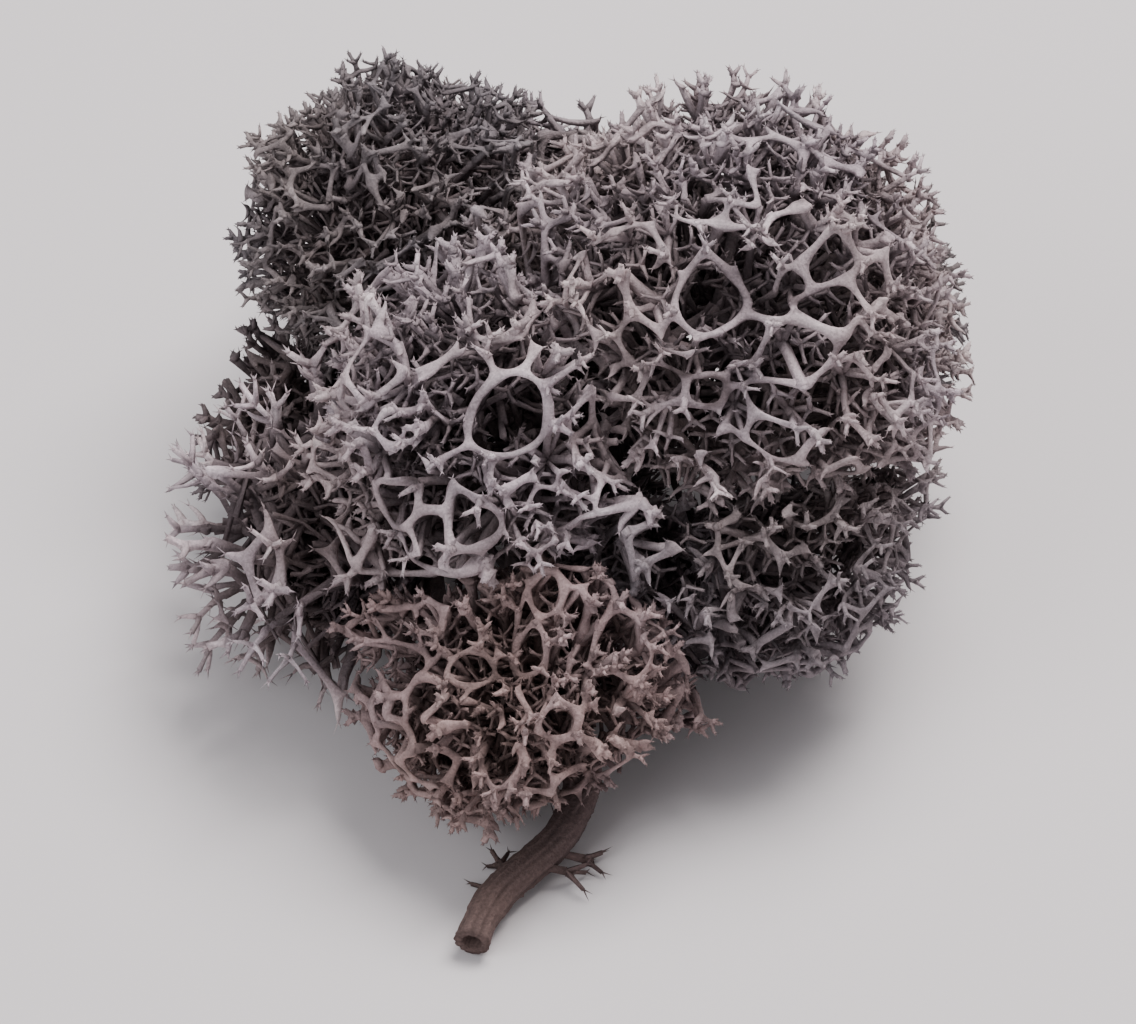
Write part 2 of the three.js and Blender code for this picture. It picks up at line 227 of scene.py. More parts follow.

# The stalks
LYING = (0.24, 0.97, 0.1)  # the way a stalk runs that lies on the floor
STALK_TWIGS, LYING_TWIGS = 12, 7  # dead twigs on a stalk that stands, and on one that lies
DEAD_TWIG_LENGTH, LONGER = (1.6, 3.2), 1.4  # of these, and how much longer they are on one that stands
DEAD_TWIG_RADII, DEAD_TIP_RADIUS = (0.34, 0.24), 0.22  # at both ends of a twig, and of what it forks into
DEAD_FORK_SPREAD, DEAD_FORK_LENGTH = 0.8, (0.9, 1.7)  # of the forks of these twigs
DEAD_POINT_LENGTH = 0.9  # the longest of the sharp points on them
TWIG_CLEARANCE, TIP_CLEARANCE = 0.8, 0.4  # a twig and a fork of it end at least this far above the floor
MOUTH, HOLLOW, HOLLOW_DEPTH = 0.55, 0.4, 1.2  # of a stalk's cut end: two radii and a depth, in its radii
BEND = 0.18  # how far a stalk strays from its curve, in its radii
RIDGE, FIBRE, WART = 0.05, 0.08, 0.09  # how far these stand out from its bark, in its radii

# The looks, and the stage in metres
WEAR = {"pale": 0.8, "grey": 0.3, "dark": 0.25, "brown": 0.15}  # how far the dye has worn off the tips
FLOOR_REACH = 2.0  # of the floor, to each side
SENSOR_WIDTH = 36  # of the camera, in millimetres
AIM_HEIGHT = 0.38  # where the camera looks, over the height of the clump's middle
KEY_PLACE, KEY_SIZE = (0.1, 0.08, 0.38), 0.22  # of the large soft light above
FILL_PLACE, FILL_SIZE = (-0.3, -0.26, 0.3), 0.3  # of the soft light at the front left


def form():
    """The settings for the shape of the heads."""
    return bpy.context.scene.moss_form


# ---- vectors and directions ----

def size(vectors):
    """The length of each vector, in a column."""
    return np.linalg.norm(vectors, axis=-1, keepdims=True)


def unit(vectors):
    """Vectors divided by their lengths."""
    return vectors / np.maximum(size(vectors), 1e-9)


def dot(a, b):
    """The inner product of each pair of vectors, in a column."""
    return np.sum(a * b, axis=-1, keepdims=True)


def angles_to(toward, directions):
    """The angle between each direction and one other."""
    return np.arccos(np.clip(directions @ toward, -1, 1))


def square_to(directions):
    """Two unit vectors square to each direction and to each other."""
    helper = np.where(np.abs(directions[..., 2:]) < 0.9, [0.0, 0.0, 1.0], [1.0, 0.0, 0.0])
    first = unit(np.cross(helper, directions))
    return first, np.cross(directions, first)


def around(directions, bearings):
    """The direction square to each one at a bearing round it: cos(b) times one square axis plus sin(b)
    times the other."""
    first, second = square_to(directions)
    return first * np.cos(bearings)[..., None] + second * np.sin(bearings)[..., None]


def whorl(stems, number, spread, rng):
    """Directions that fork off each stem's own, number for each, evenly round it from a random bearing on:
    the stem's direction plus spread times one square to it. Also returns which stem each belongs to."""
    number = np.broadcast_to(number, len(stems))
    owner = np.repeat(np.arange(len(stems)), number)
    turns = np.arange(len(owner)) / number[owner] + rng.random(len(stems))[owner]
    return owner, unit(stems[owner] + spread * around(stems[owner], 2 * math.pi * turns))


def even_directions(axis, count, cap, stray, rng):
    """Directions spread evenly over a cap by the golden angle: equal steps in the cosine of the tilt, with
    each direction strayed sideways by a normal share of their spacing."""
    cap_height = 1 - math.cos(math.radians(cap))
    steps = np.arange(count)
    tilt = np.arccos(1 - cap_height * (steps + 0.5) / count)
    sideways = around(np.broadcast_to(axis, (count, 3)), steps * GOLDEN_ANGLE)
    directions = axis * np.cos(tilt)[:, None] + sideways * np.sin(tilt)[:, None]
    spacing = math.sqrt(2 * math.pi * cap_height / count)
    return unit(directions + rng.normal(0, stray * spacing, (count, 3)))


def cap_area(radius):
    """The area of the cap of a sphere that the net covers."""
    return 2 * math.pi * (1 - math.cos(math.radians(CAP_ANGLE))) * radius ** 2


# ---- the outline of a head ----

def prepare_heads():
    """The rows with what follows from them: arrays, the head's axis and crotch, one entry for each member of
    a large hole, the other heads, and the walls. A wall is the plane through the ring where the round
    outlines of two neighbours would cross."""
    heads = []
    for i, (name, row) in enumerate(HEADS.items()):
        head = {**USUAL, "name": name, "seed": FIRST_SEED + i, "closed": form().closed, **row}
        head["thickness"] *= form().thickness
        head["centre"], head["foot"] = np.array(head["centre"], float), np.array(head["foot"], float)
        head["axis"] = unit(np.array(head.get("axis", head["centre"] - HUB), float))
        head["crotch"] = head["centre"] - CROTCH * head["radius"] * head["axis"]
        head["phase"] = PHASE_STEP * i
        head["patches"] = [(unit(np.array(toward, float)), *rest) for toward, *rest in head["patches"]]
        head["holes"] = [(unit(np.array(toward, float)), width, roundness * (len(places) == 1), -1 - number)
                         for number, (places, width, roundness) in enumerate(head["holes"])
                         for toward in places]
        heads.append(head)
    for head in heads:
        head["others"] = [other for other in heads if other is not head]
        head["walls"] = [(np.array([0.0, 0.0, -1.0]), head["centre"][2] - FLOOR_CLEARANCE)]
        for other in head["others"]:
            across = other["centre"] - head["centre"]
            span = np.linalg.norm(across)
            crossing = (span ** 2 + head["radius"] ** 2 - other["radius"] ** 2) / (2 * span)
            head["walls"].append((across / span, crossing - GAP / 2))
    return heads


def envelope(head, directions):
    """The distance from a head's centre to the surface that all heads share, which rounds the grooves
    between them. Each head is a sphere, this one with three slow waves. Its field falls by one power of e
    over the merging length, and the surface is where the fields add up to one, found in four steps."""
    x, y, z = directions[:, 0], directions[:, 1], directions[:, 2]
    lumps = sum(np.sin(a * x + b * y + c * z + turn * head["phase"]) for a, b, c, turn in WAVES) / len(WAVES)
    own = head["radius"] * (1 - head["squash"] * z ** 2) * (1 + LUMP * lumps)
    reach = own.copy()
    for _ in range(4):
        points = head["centre"] + directions * reach[:, None]
        field = np.exp(-MERGING * (reach - own))
        for other in head["others"]:
            field += np.exp(-MERGING * (np.linalg.norm(points - other["centre"], axis=1) - other["radius"]))
        reach = reach + np.log(field) / MERGING
    return reach


def outline(head, directions):
    """The distance from a head's centre to its outline: the shared surface combined with the head's walls
    as a root of a sum of high negative powers, which rounds every crease."""
    grazing = 1e-3
    total = envelope(head, directions) ** -ROUNDING
    for normal, distance in head["walls"]:
        slope = np.maximum(directions @ normal, grazing)
        total = total + np.where(slope > grazing, (distance / slope) ** -ROUNDING, 0)
    return total ** (-1 / ROUNDING)


def hidden(head, directions):
    """How well a neighbour hides the outline, from 0 to 1: seven times the share of the way out that its
    wall cuts off, less a first part."""
    return np.clip((1 - outline(head, directions) / envelope(head, directions)) * 7 - 0.6, 0, 1)


def place(head, directions, depth):
    """Points at a depth below a head's outline. The inner ones sink along the head's axis towards the
    crotch, by the square of the share of the way that is left."""
    reach = outline(head, directions)
    share = np.clip((reach - depth) / reach, 0.1, 1.0)[:, None]
    sink = (1 - share) ** 2 * CROTCH * head["radius"]
    return head["centre"] + directions * share * reach[:, None] - sink * head["axis"]


# ---- strands: tapered tubes along smooth curves ----

SHAPES = {  # steps along a strand, sides round it, flare at its start and end, webbing at its start and end
    "arm": (4, 4, 0.35, 0.4, 0.3, 0.3),
    "limb": (6, 6, 0.35, 0.4, 0.0, 0.0),
    "twig": (3, 4, 0.3, 0.1, 0.3, 0.5),
    "sprig": (3, 3, 0.3, 0.1, 0.3, 0.5),
    "stalk": (30, 20, 0.0, 0.0, 0.0, 0.0),
    "bare_stalk": (72, 36, 0.0, 0.0, 0.0, 0.0),
}
FADE = 0.17  # share of a strand's length over which its flare and webbing fade
KNOBBLE = 0.09  # how unevenly thick a strand is along its length


def strands(kind, start, start_pull, end, end_pull, start_radius, end_radius, up=None, age=np.nan):
    """A bundle of strands as arrays: each leaves its start along start_pull and reaches its end along
    end_pull. Webbing spreads square to up. Age is left open where it goes by the depth."""
    values = {"start_radius": start_radius, "end_radius": end_radius, "age": age}
    columns = {key: np.broadcast_to(np.asarray(value, float), (len(start),)).copy()
               for key, value in values.items()}
    return dict(kind=kind, start=start, start_pull=start_pull, end=end, end_pull=end_pull, up=up, **columns)


def curve_points(bundle, steps):
    """Points and tangents of cubic Hermite curves at even steps, as arrays of strand by step."""
    s = np.linspace(0, 1, steps)[None, :, None]
    p0, m0, p1, m1 = (bundle[key][:, None, :] for key in ("start", "start_pull", "end", "end_pull"))
    points = ((2 * s ** 3 - 3 * s ** 2 + 1) * p0 + (s ** 3 - 2 * s ** 2 + s) * m0
              + (3 * s ** 2 - 2 * s ** 3) * p1 + (s ** 3 - s ** 2) * m1)
    tangents = ((6 * s ** 2 - 6 * s) * p0 + (3 * s ** 2 - 4 * s + 1) * m0
                + (6 * s - 6 * s ** 2) * p1 + (3 * s ** 2 - 2 * s) * m1)
    return points, unit(tangents)


def tube_mesh(points, tangents, up, high, wide, sides):
    """Closed tubes: oval rings of points round each curve, square to it, with their high radius along up
    and their wide one across it, and a flat fan over each end. Returns vertices, quads and triangles."""
    count, steps, _ = points.shape
    if up is None:
        up = np.cross(tangents[:, 0], tangents[:, -1])
        straight = size(up) < 0.05
        up = np.where(straight, square_to(tangents[:, 0])[0], up)
    up = up[:, None, :]
    first = unit(up - dot(up, tangents) * tangents)
    second = np.cross(tangents, first)
    angles = 2 * math.pi * np.arange(sides) / sides
    spokes = (first[:, :, None] * np.cos(angles)[:, None] * high[:, :, None, None]
              + second[:, :, None] * np.sin(angles)[:, None] * wide[:, :, None, None])
    rings = points[:, :, None] + spokes
    per = steps * sides
    ring, side = np.meshgrid(np.arange(steps - 1), np.arange(sides), indexing="ij")
    beside = (side + 1) % sides
    quads = np.stack([ring * sides + side, ring * sides + beside,
                      (ring + 1) * sides + beside, (ring + 1) * sides + side], axis=-1).reshape(-1, 4)
    fan = np.stack([np.zeros(sides - 2, int), np.arange(1, sides - 1), np.arange(2, sides)], axis=1)
    caps = np.concatenate([fan[:, ::-1], fan + per - sides])
    offsets = (np.arange(count) * per)[:, None, None]
    return (rings.reshape(-1, 3), (quads[None] + offsets).reshape(-1, 4),
            (caps[None] + offsets).reshape(-1, 3))


def spike_mesh(bundle):
    """Sharp points: a cone of three sides from start to end for each strand, its base turned by its place
    in the bundle. Returns vertices, no quads, and triangles."""
    start, end = bundle["start"], bundle["end"]
    count = len(start)
    first, second = square_to(unit(end - start))
    angles = (2 * math.pi * np.arange(3) / 3)[None, :] + np.arange(count)[:, None]
    spokes = first[:, None] * np.cos(angles)[..., None] + second[:, None] * np.sin(angles)[..., None]
    base = start[:, None] + spokes * bundle["start_radius"][:, None, None]
    vertices = np.concatenate([base, end[:, None]], axis=1)
    faces = np.array([(0, 1, 3), (1, 2, 3), (2, 0, 3), (2, 1, 0)])
    triangles = faces[None] + 4 * np.arange(count)[:, None, None]
    return vertices.reshape(-1, 3), np.zeros((0, 4), int), triangles.reshape(-1, 3)


def bundle_mesh(bundle, rng):
    """The mesh of one bundle, with each vertex's age and tint. A radius runs evenly from start to end, times
    one plus the flare, which fades exponentially from each end, and across the strand also the webbing; each
    ring is swollen or pinched by a normal share."""
    if bundle["kind"] == "net":
        vertices, quads, triangles, tint = smooth_skin(bundle)
        return vertices, quads, triangles, np.full(len(vertices), np.nan), tint
    tint = rng.random(len(bundle["start"]))
    if bundle["kind"] == "point":
        return (*spike_mesh(bundle), np.repeat(bundle["age"], 4), np.repeat(tint, 4))
    steps, sides, start_flare, end_flare, start_web, end_web = SHAPES[bundle["kind"]]
    points, tangents = curve_points(bundle, steps)
    s = np.linspace(0, 1, steps)[None, :]
    near_start, near_end = np.exp(-s / FADE), np.exp(-(1 - s) / FADE)
    radii = bundle["start_radius"][:, None] * (1 - s) + bundle["end_radius"][:, None] * s
    radii = radii * np.exp(rng.normal(0, KNOBBLE, radii.shape))
    if bundle["kind"].endswith("stalk"):
        return stalk_mesh(points, tangents, radii, sides, rng)
    high = radii * (1 + start_flare * near_start + end_flare * near_end)
    wide = radii * (1 + (start_flare + start_web) * near_start + (end_flare + end_web) * near_end)
    vertices, quads, triangles = tube_mesh(points, tangents, bundle["up"], high, wide, sides)
    return vertices, quads, triangles, np.repeat(bundle["age"], steps * sides), np.repeat(tint, steps * sides)


def running_mean(values, near, axis):
    """The mean of each value and of those up to near places from it, carried on round the ends."""
    return np.mean([np.roll(values, shift, axis=axis) for shift in range(-near, near + 1)], axis=0)


def stalk_mesh(points, tangents, radii, sides, rng):
    """A stalk's tube with a hollow in its cut end: two narrower rings come first, one sunk into the stalk and
    one at its mouth. Each ring's radius is the mean of a tenth of the rings, its middle strays along two slow
    sines, and its sides swell by the sum of lengthwise ridges, of fibres, which are a mean along the stalk
    too, and of warts, which are normal shares past one and a half. Age falls from the hollow to the bark."""
    near = radii.shape[1] // 20
    radii = running_mean(np.pad(radii, ((0, 0), (near, near)), mode="edge"), near, 1)[:, near:-near]
    along = np.linspace(0, 1, radii.shape[1])
    first, second = square_to(tangents)
    wave = np.sin(math.pi * along) * BEND * radii[0, 0]
    points = (points + first * (wave * np.sin(9 * along))[None, :, None]
              + second * (wave * np.cos(7 * along))[None, :, None])
    sunk = points[:, :1] + tangents[:, :1] * HOLLOW_DEPTH * radii[:, :1, None]
    points = np.concatenate([sunk, points[:, :1], points], axis=1)
    tangents = np.concatenate([tangents[:, :1], tangents[:, :1], tangents], axis=1)
    radii = np.concatenate([HOLLOW * radii[:, :1], MOUTH * radii[:, :1], radii], axis=1)
    vertices, quads, triangles = tube_mesh(points, tangents, None, radii, radii, sides)
    fibres = running_mean(rng.normal(0, FIBRE, (radii.shape[1], sides)), near, 0)
    warts = np.clip(rng.normal(0, 1, fibres.shape) - 1.5, 0, 1) * WART
    ridges = 1 + RIDGE * np.sin(np.arange(sides) * 2.3 + 3 * rng.random(sides)) + fibres + warts
    middles = np.repeat(points[0], sides, axis=0)
    vertices = middles + (vertices - middles) * ridges.reshape(-1, 1)
    age = np.concatenate([[1, 0.75], 0.42 + 0.45 * along])
    tint = np.clip(0.3 + 4 * (ridges - 1), 0, 1)
    return vertices, quads, triangles, np.repeat(age, sides), tint.ravel()


# ---- the net of a head ----

def local_spacing(head, directions):
    """The width of the holes wanted in each direction: the head's own or a patch's, wider where
    a neighbour hides the surface and underneath."""
    width = np.full(len(directions), float(head["spacing"]))
    for toward, across, patch_width in head["patches"]:
        angle = np.degrees(angles_to(toward, directions))
        width += (patch_width - width) / (1 + np.exp((angle - across / 2) / PATCH_FADE))
    tilt = np.degrees(angles_to(head["axis"], directions))
    low = np.clip((tilt - SPARSE_ANGLE) / (CAP_ANGLE - SPARSE_ANGLE), 0, 1)
    return width * (1 + SPARSER * hidden(head, directions) + SPARSER * low)


def scatter_holes(head, rng):
    """The net's holes: directions, widths, how round they are, and the number of the long hole that each is
    part of. Those that have a place of their own come first, then the rest are thrown at random, the wide
    ones before the narrow ones, and kept where they fit beside the others."""
    usual = cap_area(head["radius"]) / (HEXAGONAL * head["spacing"] ** 2)
    toward, width = np.zeros((MOST_HOLES, 3)), np.zeros(MOST_HOLES)
    roundness, member = np.full(MOST_HOLES, 0.2), np.arange(MOST_HOLES)
    found = len(head["holes"])
    for i, row in enumerate(head["holes"]):
        toward[i], width[i], roundness[i], member[i] = row
    for factor, share in HOLE_CLASSES:
        thrown = even_directions(head["axis"], THROWS, CAP_ANGLE, 2.0, rng)
        rng.shuffle(thrown)
        reach = outline(head, thrown)
        wanted = local_spacing(head, thrown) * factor
        for direction, breadth, distance in zip(thrown, wanted, reach):
            apart = np.linalg.norm(toward[:found] - direction, axis=1) * distance
            if found < share * usual * FULL and np.all(apart > 0.5 * (width[:found] + breadth)):
                toward[found], width[found] = direction, breadth
                found += 1
    holes = dict(toward=toward, width=width, roundness=roundness, member=member)
    return {key: values[:found] for key, values in holes.items()}


def triangulate(head, holes):
    """The triangles between neighbouring holes, found flat in stereographic projection from the point
    opposite the head's axis, which keeps circles circles. Those that span the bare underside are dropped."""
    directions, widths = holes["toward"], holes["width"]
    first, second = square_to(head["axis"])
    scale = 1 / (1 + directions @ head["axis"])
    flat = np.stack([directions @ first * scale, directions @ second * scale], axis=1)
    triangles = np.array(delaunay_2d_cdt([Vector(point) for point in flat], [], [], 0, 1e-9)[2])
    reach = outline(head, directions)
    for a, b in ((0, 1), (1, 2), (2, 0)):
        one, other = triangles[:, a], triangles[:, b]
        apart = np.linalg.norm(directions[one] - directions[other], axis=1)
        side = apart * np.minimum(reach[one], reach[other])
        triangles = triangles[side < LONGEST_SIDE * (widths[one] + widths[other])]
    corners = directions[triangles]
    turn = dot(np.cross(corners[:, 0], corners[:, 1]), corners[:, 2])
    return np.where(turn > 0, triangles, triangles[:, ::-1])


def find_neighbours(triangles):
    """For each side of each triangle, from one corner to the next, the number of the same side in its
    neighbour, counted as three times the triangle plus the side; -1 where there is none."""
    sides = np.stack([triangles, np.roll(triangles, -1, axis=1)], axis=2).reshape(-1, 2)
    ordered = np.sort(sides, axis=1)
    keys = ordered[:, 0] * (triangles.max() + 1) + ordered[:, 1]
    order = np.argsort(keys, kind="stable")
    same = np.nonzero(keys[order][1:] == keys[order][:-1])[0]
    neighbour = np.full(len(keys), -1)
    neighbour[order[same]] = order[same + 1]
    neighbour[order[same + 1]] = order[same]
    return neighbour


def pick_perforated(count, triangles, named, rng):
    """Picks the holes that get a closed rim, of which no two touch: the named ones and a share of the
    others. Returns a mask."""
    touching = np.zeros((count, count), bool)
    for a, b in ((0, 1), (1, 2), (2, 0)):
        touching[triangles[:, a], triangles[:, b]] = True
        touching[triangles[:, b], triangles[:, a]] = True
    picked = np.zeros(count, bool)
    blocked = np.zeros(count, bool)
    others = named + rng.permutation(count - named)[:round(2 * PERFORATED * count)]
    for candidate in np.concatenate([np.arange(named), others]):
        if not blocked[candidate]:
            picked[candidate] = True
            blocked |= touching[candidate]
    return picked


def place_joints(head, holes, triangles, rng):
    """A joint between every three neighbouring holes: their mean direction, weighted by one over their
    widths. On the rim of a round hole it moves towards the rim's mean radius. Then it strays a little."""
    around_joint = holes["toward"][triangles]
    joints = unit((around_joint * (1 / holes["width"][triangles][..., None])).sum(axis=1))
    perforated = holes["perforated"]
    on_rim = perforated[triangles].any(axis=1)
    owner = triangles[np.arange(len(triangles)), perforated[triangles].argmax(axis=1)]
    middle = holes["toward"][owner]
    offset = joints - middle
    radius = np.linalg.norm(offset, axis=1)
    totals = np.bincount(owner[on_rim], radius[on_rim], len(perforated))
    mean = totals / np.maximum(np.bincount(owner[on_rim], minlength=len(perforated)), 1)
    rounded = unit(middle + offset * (1 + holes["roundness"][owner] * (mean[owner] / radius - 1))[:, None])
    joints = np.where(on_rim[:, None], rounded, joints)
    local = holes["width"][triangles].mean(axis=1)
    stray = np.where(on_rim, RIM_STRAY, JOINT_STRAY) * local / head["radius"]
    return unit(joints + rng.normal(0, 1, joints.shape) * stray[:, None]), on_rim, local


def grow_net(head, rng):
    """The outer net of a head and the forks that carry it. Branchlets run from joint to joint. Round
    a perforation they close into a rim; elsewhere most of them end half-way in a small fork of their own.
    Small domes come from setting each joint lower by the square of its distance to the nearest dome's
    middle."""
    holes = scatter_holes(head, rng)
    triangles = triangulate(head, holes)
    holes["perforated"] = pick_perforated(len(holes["toward"]), triangles, len(head["holes"]), rng)
    joints, on_rim, local = place_joints(head, holes, triangles, rng)
    scale = head["spacing"] / USUAL_SPACING
    depth = NET_DEPTH * math.sqrt(scale) + dome_drop(head, joints) + rng.normal(0, DEPTH_STRAY, len(joints))
    points = place(head, joints, np.clip(depth, SHALLOWEST, DEEPEST))
    thick = 0.5 * head["thickness"] * (local / head["spacing"]) ** 0.5 * rng.lognormal(0, UNEVEN, len(joints))

    bundles = [weave(head, holes, triangles, joints, points, thick, rng)]
    bundles += grow_points(bundles[0]["tips"], bundles[0]["leaving"], 0.16 * head["thickness"],
                           1.3 * head["thickness"] * head["reach"], 2, rng)
    bundles += grow_antlers(head, points, joints, thick, on_rim, rng)

    forks, carrier = group(head, joints, JOINTS, rng)
    forks = part_round_holes(head, forks)
    fork_points = place(head, forks, NET_DEPTH + FORK_DEPTH * scale ** 0.6 + dome_drop(head, forks)
                        + rng.normal(0, 0.15, len(forks)))
    bundles.append(grow_arms(fork_points[carrier], forks[carrier], points, joints, 1.1 * thick, 0.9 * thick))
    bundles += grow_undergrowth(head, forks, fork_points, rng)
    return bundles, forks, fork_points


def dome_drop(head, directions):
    """How far the net lies below its domes' tops: the square of the distance to the nearest of an even set
    of tops, over half a dome's width."""
    width, rise = form().dome_width / MM, form().dome_rise / MM
    number = max(4, round(cap_area(head["radius"] / width)))
    own_rng = np.random.default_rng(head["seed"] + 500)
    tops = even_directions(head["axis"], number, CAP_ANGLE + 15, 0.3, own_rng)
    distance = np.arccos(np.clip((directions @ tops.T).max(axis=1), -1, 1)) * head["radius"]
    return rise * (distance / (0.5 * width)) ** 2


def part_round_holes(head, directions):
    """Pushes directions out of the named holes: an angle t from a hole's middle becomes the root of
    t squared plus the hole's half angle squared, which fades with distance."""
    for middle, width, *_ in head["holes"]:
        half = 0.5 * width / head["radius"]
        angle = angles_to(middle, directions)[:, None]
        sideways = unit(directions - dot(directions, middle) * middle)
        pushed = np.sqrt(angle ** 2 + half ** 2 * np.exp(-(angle / half / 2.2) ** 2))
        directions = middle * np.cos(pushed) + sideways * np.sin(pushed)
    return directions


def painted_hole_shade(head, directions, depth):
    """Painted shade under the large holes, as age added to the strands that lie deep under them: the angle to
    a hole's middle, scaled to one inside its rim and nought outside it, times the share of the way down to
    its bottom."""
    painted_shade = np.zeros(len(directions))
    for middle, width, *_ in head["holes"]:
        off = angles_to(middle, directions) * head["radius"] / (0.5 * width)
        painted_shade = np.maximum(painted_shade, np.clip(2.6 - 2 * off, 0, 1))
    return HOLE_SHADE * painted_shade * np.clip((depth - 1.4) / 1.5, 0, 1)


def grow_arms(start, out, end, outward, start_radius, end_radius):
    """Branchlets from a fork up to what it carries: they spread at once, then turn outwards."""
    chord = end - start
    start_pull = size(chord) * (0.45 * out + 0.65 * unit(chord))
    end_pull = size(chord) * unit(0.9 * outward + 0.35 * unit(chord))
    return strands("arm", start, start_pull, end, end_pull, start_radius, end_radius,
                   up=square_to(outward)[0])


def grow_undergrowth(head, forks, fork_points, rng):
    """Stars of three or four forked branchlets below the net, which darken its holes. Each hangs on the
    nearest of the net's forks."""
    scale = (head["spacing"] / USUAL_SPACING) ** 0.5
    count = round(cap_area(head["radius"]) / (HEXAGONAL * (UNDERGROWTH_SPACING * scale) ** 2))
    stars = part_round_holes(head, even_directions(head["axis"], count, CAP_ANGLE, 0.3, rng))
    stars = stars[rng.random(count) > 0.7 * hidden(head, stars)]
    count = len(stars)
    points = place(head, stars, UNDERGROWTH_DEPTH * scale * head["sinking"]
                   + dome_drop(head, stars) * 0.7 + rng.normal(0, 0.35, count))
    carrier = np.argmax(stars @ forks.T, axis=1)
    radius = 0.4 * head["thickness"]
    bundles = [grow_arms(fork_points[carrier] - 0.8 * forks[carrier], forks[carrier], points, stars,
                         1.1 * radius, radius)]
    owner = np.repeat(np.arange(count), rng.choice([3, 4], count, p=THREE_OR_FOUR))
    bearing = 2.1 * np.arange(len(owner)) + 6 * rng.random(count)[owner]
    sideways = around(stars[owner], bearing)
    reach = UNDERGROWTH_SPACING * scale * rng.uniform(0.35, 0.62, (len(owner), 1))
    end = points[owner] + sideways * reach + stars[owner] * reach * rng.uniform(0.1, 0.7, (len(owner), 1))
    step = end - points[owner]
    finish = unit(step + 0.5 * stars[owner] * size(step))
    bundles.append(strands("sprig", points[owner], step * 0.6 + 0.5 * sideways * size(step), end,
                           finish * size(step), 0.95 * radius, 0.6 * radius, up=stars[owner]))
    return bundles + grow_points(end, finish, 0.6 * radius, 1.1 * head["thickness"], 2, rng)


def square_ring(middle, over, beside, high, wide):
    """Four points round each middle: over it, beside it, under it and on its other side."""
    return np.stack([middle + over * high, middle + beside * wide,
                     middle - over * high, middle - beside * wide], axis=1)


def weave(head, holes, triangles, joints, points, thick, rng):
    """The net as one skin, before it is smoothed. Each joint has a top and a bottom point, and a web point
    towards each of its three holes. Each of its three arms starts from the top, the bottom and the two webs
    beside it. It joins its neighbour's at a square ring half-way, or ends in a square ring and a point. One
    that would cross a long hole, or never grew, is a mere wart."""
    count = len(triangles)
    arm = np.arange(3 * count)
    own = arm // 3
    neighbour = find_neighbours(triangles)
    lower = np.minimum(arm, neighbour)
    met = (neighbour >= 0)[:, None]
    right, left = triangles.reshape(-1), np.roll(triangles, -1, axis=1).reshape(-1)
    on_rim = holes["perforated"][right] | holes["perforated"][left]
    grown = rng.random(3 * count)[lower] < head["closed"]
    same_hole = holes["member"][right] == holes["member"][left]
    missing = same_hole | ((rng.random(3 * count)[lower] < MISSING) & ~on_rim)
    closed = (neighbour >= 0) & (on_rim | grown) & ~missing

    up, root = joints[own], points[own]
    across = unit(holes["toward"][left] + holes["toward"][right])
    aim = np.where(met, points[neighbour // 3], place(head, across, NET_DEPTH))
    chord = aim - root
    half_way = chord * np.where(met, 0.5, 0.9)
    side = unit(np.cross(up, chord))

    corners = joint_points(holes, triangles, joints, points, thick, rng)
    waist = thick[own] * rng.lognormal(WAIST_LOG, WAIST_STRAY, len(arm)) * WAIST
    waist = np.where(closed, waist[lower], waist)[:, None]
    sag = rng.uniform(*SAG, len(arm))[lower][:, None]
    middle = root + half_way
    circle = on_circle(head, holes, np.where(holes["perforated"][right], right, left), root, middle, aim)
    middle = np.where((on_rim & closed)[:, None], circle, middle - up * sag * ~on_rim[:, None])
    out = unit(up + joints[np.maximum(neighbour, 0) // 3] * met)
    shared = square_ring(middle, out, -side, waist, np.where(on_rim[:, None], RIM_WIDTH, 1.0) * waist)

    ending, tips, leaving = free_ends(head, root, up, side, half_way, waist, missing, rng)
    quads, triangles, shared_arms = stitch(count, neighbour, closed)
    vertices = np.concatenate([*corners, shared[shared_arms].reshape(-1, 3), ending[~closed].reshape(-1, 3)])
    tint = np.concatenate([np.tile(rng.random(count), 2), rng.random(3 * count),
                           np.repeat(rng.random(len(shared_arms)), 4),
                           np.repeat(rng.random((~closed).sum()), 5)])
    ended = ~closed & ~missing
    return dict(kind="net", start=points, vertices=vertices, quads=quads, triangles=triangles, tint=tint,
                tips=tips[ended], leaving=leaving[ended])


def joint_points(holes, triangles, joints, points, thick, rng):
    """The points of the skin at each joint: a top, a bottom, and a web towards each of its three holes."""
    toward = holes["toward"][triangles]
    webs = unit(toward - joints[:, None] * dot(toward, joints[:, None]))
    reach = thick[:, None, None] * rng.uniform(*WEB_REACH, (len(points), 3, 1))
    drop = joints[:, None] * thick[:, None, None] * rng.uniform(*WEB_DROP, (len(points), 3, 1))
    webs = points[:, None] + webs * reach - drop
    top = points + joints * thick[:, None] * JOINT_TOP
    bottom = points - joints * thick[:, None] * JOINT_BOTTOM
    return top, bottom, webs.reshape(-1, 3)


